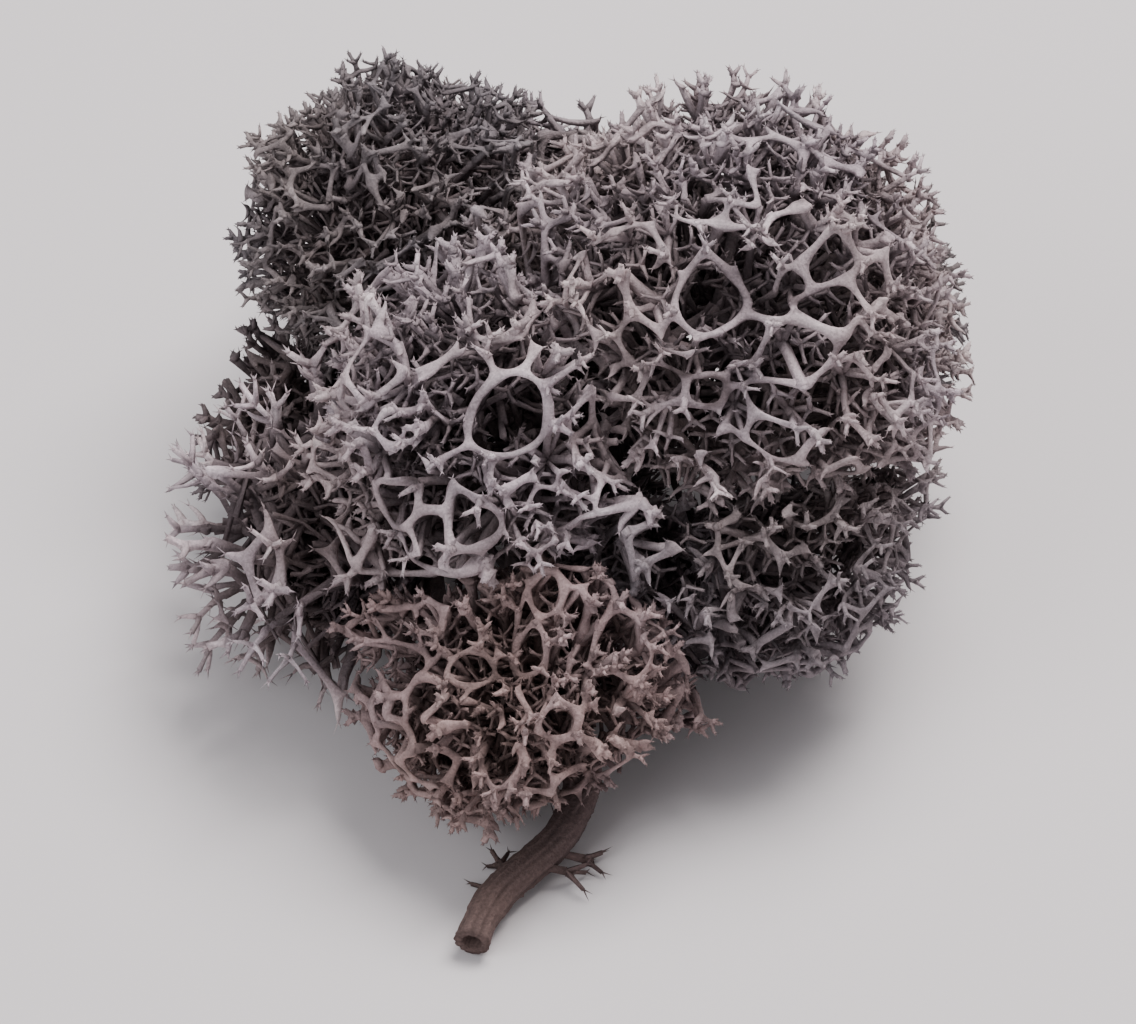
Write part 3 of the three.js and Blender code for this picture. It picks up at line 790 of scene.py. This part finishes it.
def free_ends(head, root, up, side, half_way, waist, missing, rng):
    """The points of the skin where an arm ends: a ring on the way and a point past it, both led off the way
    half-way to its neighbour by normal shares outwards and sideways. Also where its sharp points start, and
    the way they lead."""
    rise = np.clip(rng.normal(RISE, RISE_STRAY, (len(root), 1)) * head["reach"], *RISE_LIMITS)
    stunted = missing[:, None]
    reach = rng.uniform(*END_REACH, (len(root), 1)) * size(half_way) * np.where(stunted, WART_REACH, 1)
    sway = rng.normal(0, SWAY, rise.shape)
    heading = unit(unit(half_way) + up * rise + side * sway)
    ring_at = root + heading * reach * RING_AT
    end_at = root + unit(heading + END_RISE * up) * reach * END_AT
    over = unit(up - dot(up, heading) * heading)
    thin = waist * np.where(stunted, WART_THIN, THIN)
    ring = square_ring(ring_at, over, np.cross(heading, over), thin, thin)
    return (np.concatenate([ring, end_at[:, None]], axis=1), ring_at + STAR_AT * (end_at - ring_at),
            unit(heading + STAR_RISE * up))


def on_circle(head, holes, number, start, middle, end):
    """The middle of each arm on the rim of a hole, moved out from the hole's axis towards the mean radius of
    the arm's two ends, the further the rounder the hole is."""
    axis = holes["toward"][number]
    centre = head["centre"] + axis * dot(middle - head["centre"], axis)
    wanted = 0.5 * (size(start - centre) + size(end - centre))
    bulge = BULGE + ROUND_BULGE * holes["roundness"][number][:, None]
    return (1 - bulge) * middle + bulge * (centre + unit(middle - centre) * wanted)


def stitch(count, neighbour, closed):
    """The faces of the net's skin: four quads along each arm, and four triangles over each end. Its points
    come as all tops, all bottoms, three webs for each joint, four points for each ring that two arms share,
    and five for each arm that ends. Also returns the arms that the shared rings are taken from."""
    arm = np.arange(3 * count)
    own, lower = arm // 3, np.minimum(arm, neighbour)
    shared_arms = lower[closed & (arm == lower)]
    ring_number = np.full(len(arm), -1)
    ring_number[shared_arms] = np.arange(len(shared_arms))
    first_of_rings = 5 * count
    first_of_ends = first_of_rings + 4 * len(shared_arms)
    end_number = np.cumsum(~closed)[:, None] - 1
    base = np.stack([own, 2 * count + arm, count + own, 2 * count + 3 * own + (arm + 1) % 3], axis=1)
    order = np.where((arm == lower)[:, None], [0, 1, 2, 3], [0, 3, 2, 1])
    ring = np.where(closed[:, None], first_of_rings + 4 * ring_number[lower][:, None] + order,
                    first_of_ends + 5 * end_number + np.arange(4))
    quads = np.stack([base, np.roll(base, -1, axis=1), np.roll(ring, -1, axis=1), ring], axis=2)
    last = ring[~closed]
    point = np.broadcast_to(first_of_ends + 5 * end_number[~closed] + 4, last.shape)
    triangles = np.stack([last, np.roll(last, -1, axis=1), point], axis=2)
    return quads.reshape(-1, 4), triangles.reshape(-1, 3), shared_arms


def smooth_skin(net):
    """One Catmull-Clark step over a net, with its tint. Returns vertices, quads, triangles and tint."""
    mesh = make_mesh("skin", net["vertices"], net["quads"], net["triangles"], {"tint": net["tint"]})
    piece = bpy.data.objects.new("skin", mesh)
    bpy.context.scene.collection.objects.link(piece)
    smoothing = piece.modifiers.new("smoothing", "SUBSURF")
    smoothing.levels = smoothing.render_levels = 1
    finished = piece.evaluated_get(bpy.context.evaluated_depsgraph_get()).to_mesh()
    smoothed = np.zeros(3 * len(finished.vertices), np.float32)
    finished.vertices.foreach_get("co", smoothed)
    corners = np.zeros(len(finished.loops), np.int32)
    finished.loops.foreach_get("vertex_index", corners)
    tints = np.zeros(len(finished.vertices), np.float32)
    finished.attributes["tint"].data.foreach_get("value", tints)
    bpy.data.objects.remove(piece)
    bpy.data.meshes.remove(mesh)
    return smoothed.reshape(-1, 3) / MM, corners.reshape(-1, 4), np.zeros((0, 3), int), tints


def grow_points(roots, leaving, radius, length, number, rng, age=np.nan):
    """Sharp points at the end of each tip, evenly round it, spread at about thirty degrees."""
    owner, toward = whorl(leaving, number, POINT_SPREAD, rng)
    radius = np.broadcast_to(radius, (len(roots),))[owner]
    start = roots[owner] - toward * radius[:, None] * POINT_ROOT
    end = roots[owner] + toward * length * rng.uniform(*POINT_LENGTH, len(owner))[:, None]
    return [strands("point", start, None, end, None, radius * POINT_BASE, 0, age=age)]


def grow_antlers(head, points, joints, thick, on_rim, rng):
    """Forked tips that stand out from many joints up to the outline. Each has a short stem that splits into
    two or three tines, evenly round it, and each tine ends in a star of sharp points."""
    chosen = rng.random(len(points)) < form().forked_tips * np.where(on_rim, ANTLERS_ON_RIM, 1)
    root, out, radius = points[chosen], joints[chosen], thick[chosen]
    scale = math.sqrt(head["spacing"] / USUAL_SPACING) * head["reach"]
    bearing = rng.uniform(0, 2 * math.pi, len(root))
    toward = unit(out + around(out, bearing) * rng.uniform(0, ANTLER_LEAN, (len(root), 1)))
    length = rng.uniform(*STEM_LENGTH, (len(root), 1)) * scale
    fork = root + toward * length
    stems = strands("twig", root, toward * length, fork, toward * length, 0.95 * radius, 0.85 * radius)
    tines = rng.choice([2, 3], len(root), p=TWO_OR_THREE)
    owner, aim = whorl(toward, tines, TINE_SPREAD, rng)
    length = rng.uniform(*TINE_LENGTH, (len(owner), 1)) * scale
    end = fork[owner] + aim * length
    finish = unit(aim + TINE_RISE * out[owner])
    radius = radius[owner]
    arms = strands("twig", fork[owner], aim * length, end, finish * length, 0.8 * radius, 0.5 * radius,
                   up=toward[owner])
    return [stems, arms] + grow_points(end, finish, 0.5 * radius, head["thickness"] * head["reach"], 3, rng)


# ---- the limbs of a head ----

def group(head, directions, children, rng):
    """Joins neighbouring directions into forks: each goes to the nearest of a smaller even set, and a
    fork's direction is the mean of its own."""
    seeds = even_directions(head["axis"], max(1, round(len(directions) / children)), CAP_ANGLE, 0.2, rng)
    owner = np.argmax(directions @ seeds.T, axis=1)
    _, owner = np.unique(owner, return_inverse=True)
    sums = np.zeros((owner.max() + 1, 3))
    np.add.at(sums, owner, directions)
    return unit(sums), owner


def grow_head(head, rng):
    """The strands of a head: its net, and the limbs that fork level by level from the crotch to the net's
    own forks."""
    bundles, directions, points = grow_net(head, rng)
    levels, places, owners = [directions], [points], []
    for depth in LIMB_DEPTHS:
        if depth < 0.8 * head["radius"] and len(levels[-1]) > 3:
            parents, owner = group(head, levels[-1], CHILDREN, rng)
            levels.append(parents)
            owners.append(owner)
            places.append(place(head, parents, depth + rng.normal(0, FORK_STRAY, len(parents))))
    owners.append(np.zeros(len(levels[-1]), int))
    places.append(head["crotch"][None])
    leaving = head["axis"][None]
    radii = [0.5 * head["thickness"] * growth for growth in LIMB_GROWTH[:len(levels)]] + [0.8 * head["stalk"]]
    limbs = []
    for level in range(len(levels) - 1, -1, -1):
        owner = owners[level]
        start, end, before = places[level + 1][owner], places[level], leaving[owner]
        chord = end - start
        sideways = unit(chord - dot(chord, before) * before)
        spread = np.clip(1.15 - dot(unit(chord), before), 0.15, 1.0)
        start_pull = size(chord) * (before * 0.75 + sideways * (0.35 + 0.75 * spread))
        leaving = unit(0.8 * levels[level] + 0.35 * unit(chord) + rng.normal(0, HEADING_STRAY, chord.shape))
        limbs.append(strands("limb", start, start_pull, end, size(chord) * leaving,
                             min(radii[level + 1], radii[level] * 1.3), radii[level]))
    return bundles + limbs + grow_side_twigs(head, limbs, rng) + grow_thatch(head, rng)


def grow_side_twigs(head, limbs, rng):
    """Short forked twigs on the sides of the limbs, which fill the inside of the head."""
    bundles = []
    radius = INNER * head["thickness"]
    for limb in limbs:
        points, tangents = curve_points(limb, 6)
        for step in (2, 3, 4):
            chosen = rng.random(len(points)) < SIDE_TWIGS
            root, along = points[chosen, step], tangents[chosen, step]
            toward = unit(along * 0.5 + around(along, rng.uniform(0, 2 * math.pi, len(root))))
            length = rng.uniform(*SIDE_TWIG_LENGTH, len(root))[:, None]
            end = root + toward * length
            bundles.append(strands("twig", root, toward * length, end, toward * length, radius, 0.8 * radius))
            bundles += grow_points(end, toward, 0.75 * radius, 2.4 * head["thickness"], 3, rng)
    return bundles


def grow_thatch(head, rng):
    """Old, broken branchlets that lie crossed inside and under the head: bowed strands between random points
    a quarter to three quarters of the way in."""
    count = round(THATCH * head["radius"] ** 2)
    ends = []
    for _ in range(2):
        directions = even_directions(head["axis"], count, THATCH_ANGLE, 1.5, rng)
        ends.append(place(head, directions, outline(head, directions) * rng.uniform(*THATCH_DEPTH, count)))
    start, end = ends
    chord = end - start
    chord = chord * np.minimum(1, THATCH_LENGTH / size(chord))
    end = start + chord
    bow = rng.normal(0, THATCH_BOW, chord.shape) * size(chord)
    radius = INNER * head["thickness"] * rng.uniform(*THATCH_THICKNESS, count)
    return [strands("sprig", start, chord + bow, end, chord - bow, radius, 0.8 * radius,
                    up=square_to(unit(chord))[0])]


# ---- the stalks ----

def stalk_bundle(head):
    """The stalk: a cubic curve from the cut foot, upright or lying along the floor, into the crotch."""
    foot, leaving = head["foot"].copy(), np.array([0.0, 0.0, 1.0])
    kind, top = "stalk", 0.8
    if head["lying"]:
        foot[2] = 1.35 * head["stalk"]
        leaving = unit(np.array(LYING))
        kind, top = "bare_stalk", 1.15
    reach = np.linalg.norm(head["crotch"] - foot)
    return strands(kind, foot[None], 1.2 * reach * leaving[None], head["crotch"][None],
                   0.9 * reach * head["axis"][None], 1.05 * head["stalk"], top * head["stalk"], age=1)


def grow_stalk(head, rng):
    """The stalk with its dead twigs: few on one that lies bare, and many, which fork once more, on one that
    stands. Each is a fork of three that ends in sharp points."""
    stalk = stalk_bundle(head)
    points, tangents = curve_points(stalk, 24)
    if head["lying"]:
        count, scale, forkings = LYING_TWIGS, 1, 1
        steps = rng.choice(np.arange(5, 20), count, replace=False)
    else:
        count, scale, forkings = STALK_TWIGS, LONGER, 2
        steps = rng.integers(3, 22, count)
    root, along = points[0, steps], tangents[0, steps]
    toward = unit(along * 0.6 + around(along, rng.uniform(0, 2 * math.pi, count)))
    length = rng.uniform(*DEAD_TWIG_LENGTH, count)[:, None] * scale
    end = root + toward * length
    end[:, 2] = np.maximum(end[:, 2], TWIG_CLEARANCE)
    bundles = [stalk, strands("twig", root, toward * length, end, end - root, *DEAD_TWIG_RADII, age=1)]
    thick = DEAD_TIP_RADIUS
    for _ in range(forkings):
        owner, toward = whorl(toward, 3, DEAD_FORK_SPREAD, rng)
        reach = rng.uniform(*DEAD_FORK_LENGTH, len(owner))[:, None]
        tips = end[owner] + toward * reach
        tips[:, 2] = np.maximum(tips[:, 2], TIP_CLEARANCE)
        bundles.append(strands("sprig", end[owner], toward * reach, tips, tips - end[owner], thick,
                               0.55 * thick, age=0.9))
        end, thick = tips, 0.75 * thick
    return bundles + grow_points(end, toward, 0.5 * thick, DEAD_POINT_LENGTH, 2, rng, age=0.8)


# ---- the pieces ----

def make_mesh(name, vertices, quads, triangles, attributes):
    """A smooth mesh from whole arrays, in metres, with one float attribute for each named array."""
    mesh = bpy.data.meshes.new(name)
    mesh.vertices.add(len(vertices))
    mesh.vertices.foreach_set("co", (vertices * MM).astype(np.float32).ravel())
    loops = np.concatenate([quads.ravel(), triangles.ravel()])
    sizes = np.concatenate([np.full(len(quads), 4), np.full(len(triangles), 3)])
    mesh.loops.add(len(loops))
    mesh.loops.foreach_set("vertex_index", loops.astype(np.int32))
    mesh.polygons.add(len(sizes))
    mesh.polygons.foreach_set("loop_start", (np.cumsum(sizes) - sizes).astype(np.int32))
    mesh.update(calc_edges=True)
    mesh.shade_smooth()
    for attribute, values in attributes.items():
        layer = mesh.attributes.new(attribute, "FLOAT", "POINT")
        layer.data.foreach_set("value", values.astype(np.float32))
    return mesh


def build_podetium(head):
    """One stalk with its head, as one object in place of its CAD node. The attribute for age runs from 0 at
    the tips to 1 in the stalk, raised as painted shade under the large holes and on a head that lies in
    shade, and the one for tint is one random number for each strand, lifted as painted light on the heads
    that are lightened."""
    rng = np.random.default_rng(head["seed"])
    bundles = [bundle for bundle in grow_stalk(head, rng) + grow_head(head, rng) if len(bundle["start"])]
    parts = [bundle_mesh(bundle, rng) for bundle in bundles]
    offsets = np.cumsum([0] + [len(part[0]) for part in parts[:-1]])
    quads, triangles = (np.concatenate([part[i] + offset for part, offset in zip(parts, offsets)])
                        for i in (1, 2))
    vertices, given, tint = (np.concatenate([part[i] for part in parts]) for i in (0, 3, 4))
    from_centre = vertices - head["centre"]
    directions = unit(from_centre)
    distance = np.linalg.norm(from_centre, axis=1)
    age = np.clip((outline(head, directions) - distance) / OLD_DEPTH, 0, 1)
    # painted shade: added age darkens the strands deep under the large holes, and all of a head that lies in
    # shade
    painted_shade = painted_hole_shade(head, directions, age * OLD_DEPTH) + head["weathering"]
    age = np.where(np.isnan(given), age * head["ageing"], given) + painted_shade
    vertices += (1 - OVERSHOOT) * (np.clip(vertices, LOW, HIGH) - vertices)
    vertices[:, 2] = np.maximum(vertices[:, 2], 0.0)
    # the age attribute carries painted shade, and the tint attribute painted light
    mesh = make_mesh(head["name"] + "_lichen", vertices, quads, triangles,
                     {"age": age, "tint": tint ** head["dulling"]})
    mesh.materials.append(lichen_material(head["tone"]))
    piece = bpy.data.objects.new(mesh.name, mesh)
    bpy.context.scene.collection.objects.link(piece)
    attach(piece, "root")
    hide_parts(head["name"])
    return piece


# ---- materials ----

def socket(tree, direction, name, kind, default=None):
    """One named input or output of a node group."""
    made = tree.interface.new_socket(name, in_out=direction, socket_type="NodeSocket" + kind)
    if direction == "INPUT":
        made.default_value = default


def add(tree, kind, sockets=None, **properties):
    """A new shader node with its properties and, by name or number, what goes into its sockets: values, or
    the outputs of other nodes."""
    node = tree.nodes.new("ShaderNode" + kind)
    for key, value in properties.items():
        setattr(node, key, value)
    for key, value in (sockets or {}).items():
        if isinstance(value, bpy.types.NodeSocket):
            tree.links.new(value, node.inputs[key])
        else:
            node.inputs[key].default_value = value
    return node


def noise(tree, where, scale, detail=2.0, roughness=0.5):
    """Noise over the points of the object."""
    sockets = {"Vector": where, "Scale": scale, "Detail": detail, "Roughness": roughness}
    return add(tree, "TexNoise", sockets).outputs["Fac"]


def ramp(tree, value, start, end, lowest=0.0, highest=1.0, interpolation_type="SMOOTHSTEP"):
    """Maps a value's range from start to end onto the range from lowest to highest."""
    sockets = {"Value": value, "From Min": start, "From Max": end, "To Min": lowest, "To Max": highest}
    return add(tree, "MapRange", sockets, interpolation_type=interpolation_type).outputs["Result"]


def calculate(tree, operation, first, second):
    """One sum or product of two values."""
    return add(tree, "Math", {0: first, 1: second}, operation=operation).outputs["Value"]


def mix(tree, factor, first, second, blend_type="MIX"):
    """Two colours mixed."""
    sockets = {"Factor": factor, "A": first, "B": second}
    return add(tree, "Mix", sockets, data_type="RGBA", blend_type=blend_type).outputs["Result"]


def lichen_group():
    """The colour and surface of dyed, dried lichen: fresh tips over old, dark limbs, darker as painted shade
    where the age attribute carries it, each strand with a tint of its own, lighter as painted light where the
    tint is lifted, worn pale patches, and a felted, finely grained skin."""
    name = "lichen_skin"
    if name in bpy.data.node_groups:
        return bpy.data.node_groups[name]
    tree = bpy.data.node_groups.new(name, "ShaderNodeTree")
    socket(tree, "INPUT", "Fresh", "Color", (0.3, 0.27, 0.28, 1))
    socket(tree, "INPUT", "Old", "Color", (0.05, 0.045, 0.045, 1))
    socket(tree, "INPUT", "Worn", "Color", (0.5, 0.47, 0.48, 1))
    socket(tree, "INPUT", "Wear", "Float", 0.3)
    socket(tree, "OUTPUT", "Color", "Color")
    socket(tree, "OUTPUT", "Grain", "Float")
    given = tree.nodes.new("NodeGroupInput").outputs
    out = tree.nodes.new("NodeGroupOutput")
    age = add(tree, "Attribute", attribute_name="age").outputs["Fac"]
    tint = add(tree, "Attribute", attribute_name="tint").outputs["Fac"]
    where = add(tree, "TexCoord").outputs["Object"]
    patches = noise(tree, where, 230.0, 3.0, 0.6)
    drift = noise(tree, where, 75.0)
    felt = noise(tree, where, 1500.0)
    grain = noise(tree, where, 5200.0, 4.0, 0.65)

    body = mix(tree, ramp(tree, age, 0.0, 0.5), given["Fresh"], given["Old"])
    on_tips = calculate(tree, "MULTIPLY", ramp(tree, patches, 0.45, 0.72), ramp(tree, age, 0.3, 0.0))
    worn = mix(tree, calculate(tree, "MULTIPLY", on_tips, given["Wear"]), body, given["Worn"])
    hue = mix(tree, ramp(tree, drift, 0.35, 0.65), (1.04, 0.985, 0.955, 1), (0.985, 0.97, 1.01, 1))
    toned = mix(tree, 1.0, worn, hue, "MULTIPLY")
    shade = ramp(tree, tint, 0.0, 1.0, 0.6, 1.22, "LINEAR")
    mottle = ramp(tree, grain, 0.3, 0.7, 0.7, 1.25, "LINEAR")
    level = calculate(tree, "MULTIPLY", shade, mottle)
    final = add(tree, "VectorMath", {0: toned, "Scale": level}, operation="SCALE")
    tree.links.new(final.outputs["Vector"], out.inputs["Color"])
    tree.links.new(calculate(tree, "ADD", grain, felt), out.inputs["Grain"])
    return tree


def new_material(name, roughness):
    """A material with its node tree and its shader's inputs."""
    material = bpy.data.materials.new(name)
    material.use_nodes = True
    inputs = material.node_tree.nodes["Principled BSDF"].inputs
    inputs["Roughness"].default_value = roughness
    return material, material.node_tree, inputs


def lichen_material(tone):
    """The material of one tone of lichen, with its own colours in the shared skin group."""
    name = tone + "_lichen"
    if name in bpy.data.materials:
        return bpy.data.materials[name]
    colours = bpy.context.scene.moss_colours
    material, tree, inputs = new_material(name, 0.92)
    inputs["Specular IOR Level"].default_value = 0.25
    skin = add(tree, "Group", node_tree=lichen_group())
    skin.inputs["Fresh"].default_value = (*getattr(colours, tone), 1)
    skin.inputs["Old"].default_value = (*(colours.dead if tone == "brown" else colours.old), 1)
    skin.inputs["Worn"].default_value = (*colours.worn, 1)
    skin.inputs["Wear"].default_value = WEAR[tone]
    bump = add(tree, "Bump", {"Strength": 0.9, "Distance": 0.00013, "Height": skin.outputs["Grain"]})
    tree.links.new(skin.outputs["Color"], inputs["Base Color"])
    tree.links.new(bump.outputs["Normal"], inputs["Normal"])
    return material


def floor_material():
    """Matt, pale studio paper."""
    material, _, inputs = new_material("pale_floor", 0.9)
    inputs["Base Color"].default_value = (0.7, 0.66, 0.67, 1)
    return material


# ---- settings, operators and panel ----

def linear_colour(name, description, *default):
    """The setting of one colour, with its name, what it is for and its red, green and blue."""
    return FloatVectorProperty(name=name, description=description, subtype="COLOR", size=3, min=0, max=1,
                               default=default)


class MossColours(bpy.types.PropertyGroup):
    """The thallus's colours, linear."""
    # pale and dark are one colour, lighter as painted light on the heads that lie in the light and darker as
    # painted shade on those that lie in shade
    pale: linear_colour("Pale", "Tips of the sunlit heads", 0.45, 0.375, 0.394)
    grey: linear_colour("Grey", "Tips of the finely branched heads", 0.185, 0.163, 0.168)
    dark: linear_colour("Dark", "Tips of the shaded heads", 0.28, 0.24, 0.25)
    brown: linear_colour("Brown", "Tips of the head that has died back", 0.345, 0.25, 0.243)
    worn: linear_colour("Worn", "Where the dye has worn off the tips", 0.72, 0.64, 0.65)
    old: linear_colour("Old", "Inner limbs and stalks", 0.125, 0.098, 0.101)
    dead: linear_colour("Dead", "Inner limbs of the head that has died back", 0.125, 0.087, 0.082)


class MossForm(bpy.types.PropertyGroup):
    """The shape of the heads."""
    thickness: FloatProperty(name="Thickness", description="Of all branchlets, as a share of their usual one",
                             subtype="FACTOR", min=0.5, max=2, default=1)
    closed: FloatProperty(name="Closed", description="Share of the net's branchlets that grow into their "
                          "neighbour instead of ending in a point",
                          subtype="FACTOR", min=0, max=1, default=0.4)
    forked_tips: FloatProperty(name="Forked tips", description="Share of the net's joints that bear a forked "
                               "tip", subtype="FACTOR", min=0, max=1, default=0.55)
    dome_width: FloatProperty(name="Dome width", description="Of the small domes that the net forms",
                              unit="LENGTH", min=0.002, default=0.0055)
    dome_rise: FloatProperty(name="Dome rise", description="Of their middles over the furrows between them",
                             unit="LENGTH", min=0, default=0.00075)


class MossStage(bpy.types.PropertyGroup):
    """The camera and the light."""
    elevation: FloatProperty(name="Elevation", description="How steeply the camera looks down",
                             subtype="ANGLE", default=math.radians(44))
    distance: FloatProperty(name="Distance", description="From the camera to the clump", unit="LENGTH",
                            default=0.6)
    frame_width: FloatProperty(name="Frame width", description="What the frame takes in at the clump",
                               unit="LENGTH", default=0.070)
    key_power: FloatProperty(name="Key light", description="Power of the large soft light above",
                             unit="POWER", default=2.4)
    fill_power: FloatProperty(name="Fill light", description="Power of the soft light at the front left",
                              unit="POWER", default=1.0)


class MOSS_OT_podetia(bpy.types.Operator):
    """Grow the twelve stalks with their heads"""
    bl_idname = "moss.podetia"
    bl_label = "Podetia"

    def execute(self, context):
        for head in prepare_heads():
            build_podetium(head)
        return {"FINISHED"}


def area_light(name, place, target, size, power, colour):
    """A square soft light that faces its target."""
    light = bpy.data.lights.new(name, "AREA")
    light.size = size
    light.energy = power
    light.color = colour
    lamp = bpy.data.objects.new(name, light)
    lamp.location = place
    lamp.rotation_euler = (Vector(target) - Vector(place)).to_track_quat("-Z", "Y").to_euler()
    bpy.context.scene.collection.objects.link(lamp)


class MOSS_OT_stage(bpy.types.Operator):
    """Set the pale floor, the soft lights and the camera"""
    bl_idname = "moss.stage"
    bl_label = "Stage"

    def execute(self, context):
        stage = context.scene.moss_stage
        mesh = bpy.data.meshes.new("floor")
        corners = [(x * FLOOR_REACH, y * FLOOR_REACH, 0) for x, y in ((-1, -1), (1, -1), (1, 1), (-1, 1))]
        low, high = (np.array(corner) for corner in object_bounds())
        mesh.from_pydata(corners, [], [(0, 1, 2, 3)])
        mesh.materials.append(floor_material())
        floor = bpy.data.objects.new("floor", mesh)
        context.scene.collection.objects.link(floor)
        floor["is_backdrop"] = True

        camera = bpy.data.objects.new("camera", bpy.data.cameras.new("camera"))
        camera.data.sensor_width = SENSOR_WIDTH
        camera.data.lens = SENSOR_WIDTH * stage.distance / stage.frame_width
        target = Vector((low + high) / 2 * (1, 1, AIM_HEIGHT))
        away = Vector((0, -math.cos(stage.elevation), math.sin(stage.elevation)))
        camera.location = target + away * stage.distance
        camera.rotation_euler = (-away).to_track_quat("-Z", "Y").to_euler()
        context.scene.collection.objects.link(camera)
        context.scene.camera = camera

        area_light("key", KEY_PLACE, target, KEY_SIZE, stage.key_power, (1.0, 0.97, 0.96))
        area_light("fill", FILL_PLACE, target, FILL_SIZE, stage.fill_power, (0.95, 0.97, 1.0))
        world = bpy.data.worlds.new("studio")
        world.use_nodes = True
        background = world.node_tree.nodes["Background"].inputs
        background["Color"].default_value = (0.92, 0.92, 0.95, 1)
        background["Strength"].default_value = 0.45
        context.scene.world = world
        return {"FINISHED"}


class MOSS_PT_panel(bpy.types.Panel):
    """Lists the clump's operators and settings"""
    bl_idname = "MOSS_PT_panel"
    bl_label = "Reindeer moss"
    bl_space_type = "VIEW_3D"
    bl_region_type = "UI"
    bl_category = "Moss"

    def draw(self, context):
        for operator in ("moss.podetia", "moss.stage"):
            self.layout.operator(operator)
        for group_name in ("moss_form", "moss_colours", "moss_stage"):
            settings = getattr(context.scene, group_name)
            for setting in settings.__annotations__:
                self.layout.prop(settings, setting)


CLASSES = (MossForm, MossColours, MossStage, MOSS_OT_podetia, MOSS_OT_stage, MOSS_PT_panel)


def register():
    for cls in CLASSES:
        bpy.utils.register_class(cls)
    bpy.types.Scene.moss_form = PointerProperty(type=MossForm)
    bpy.types.Scene.moss_colours = PointerProperty(type=MossColours)
    bpy.types.Scene.moss_stage = PointerProperty(type=MossStage)


def unregister():
    del bpy.types.Scene.moss_stage
    del bpy.types.Scene.moss_colours
    del bpy.types.Scene.moss_form
    for cls in reversed(CLASSES):
        bpy.utils.unregister_class(cls)


def main():
    """Builds the clump and its stage."""
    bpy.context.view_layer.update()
    register()
    bpy.ops.moss.podetia()
    bpy.ops.moss.stage()


if __name__ == "__main__":
    main()
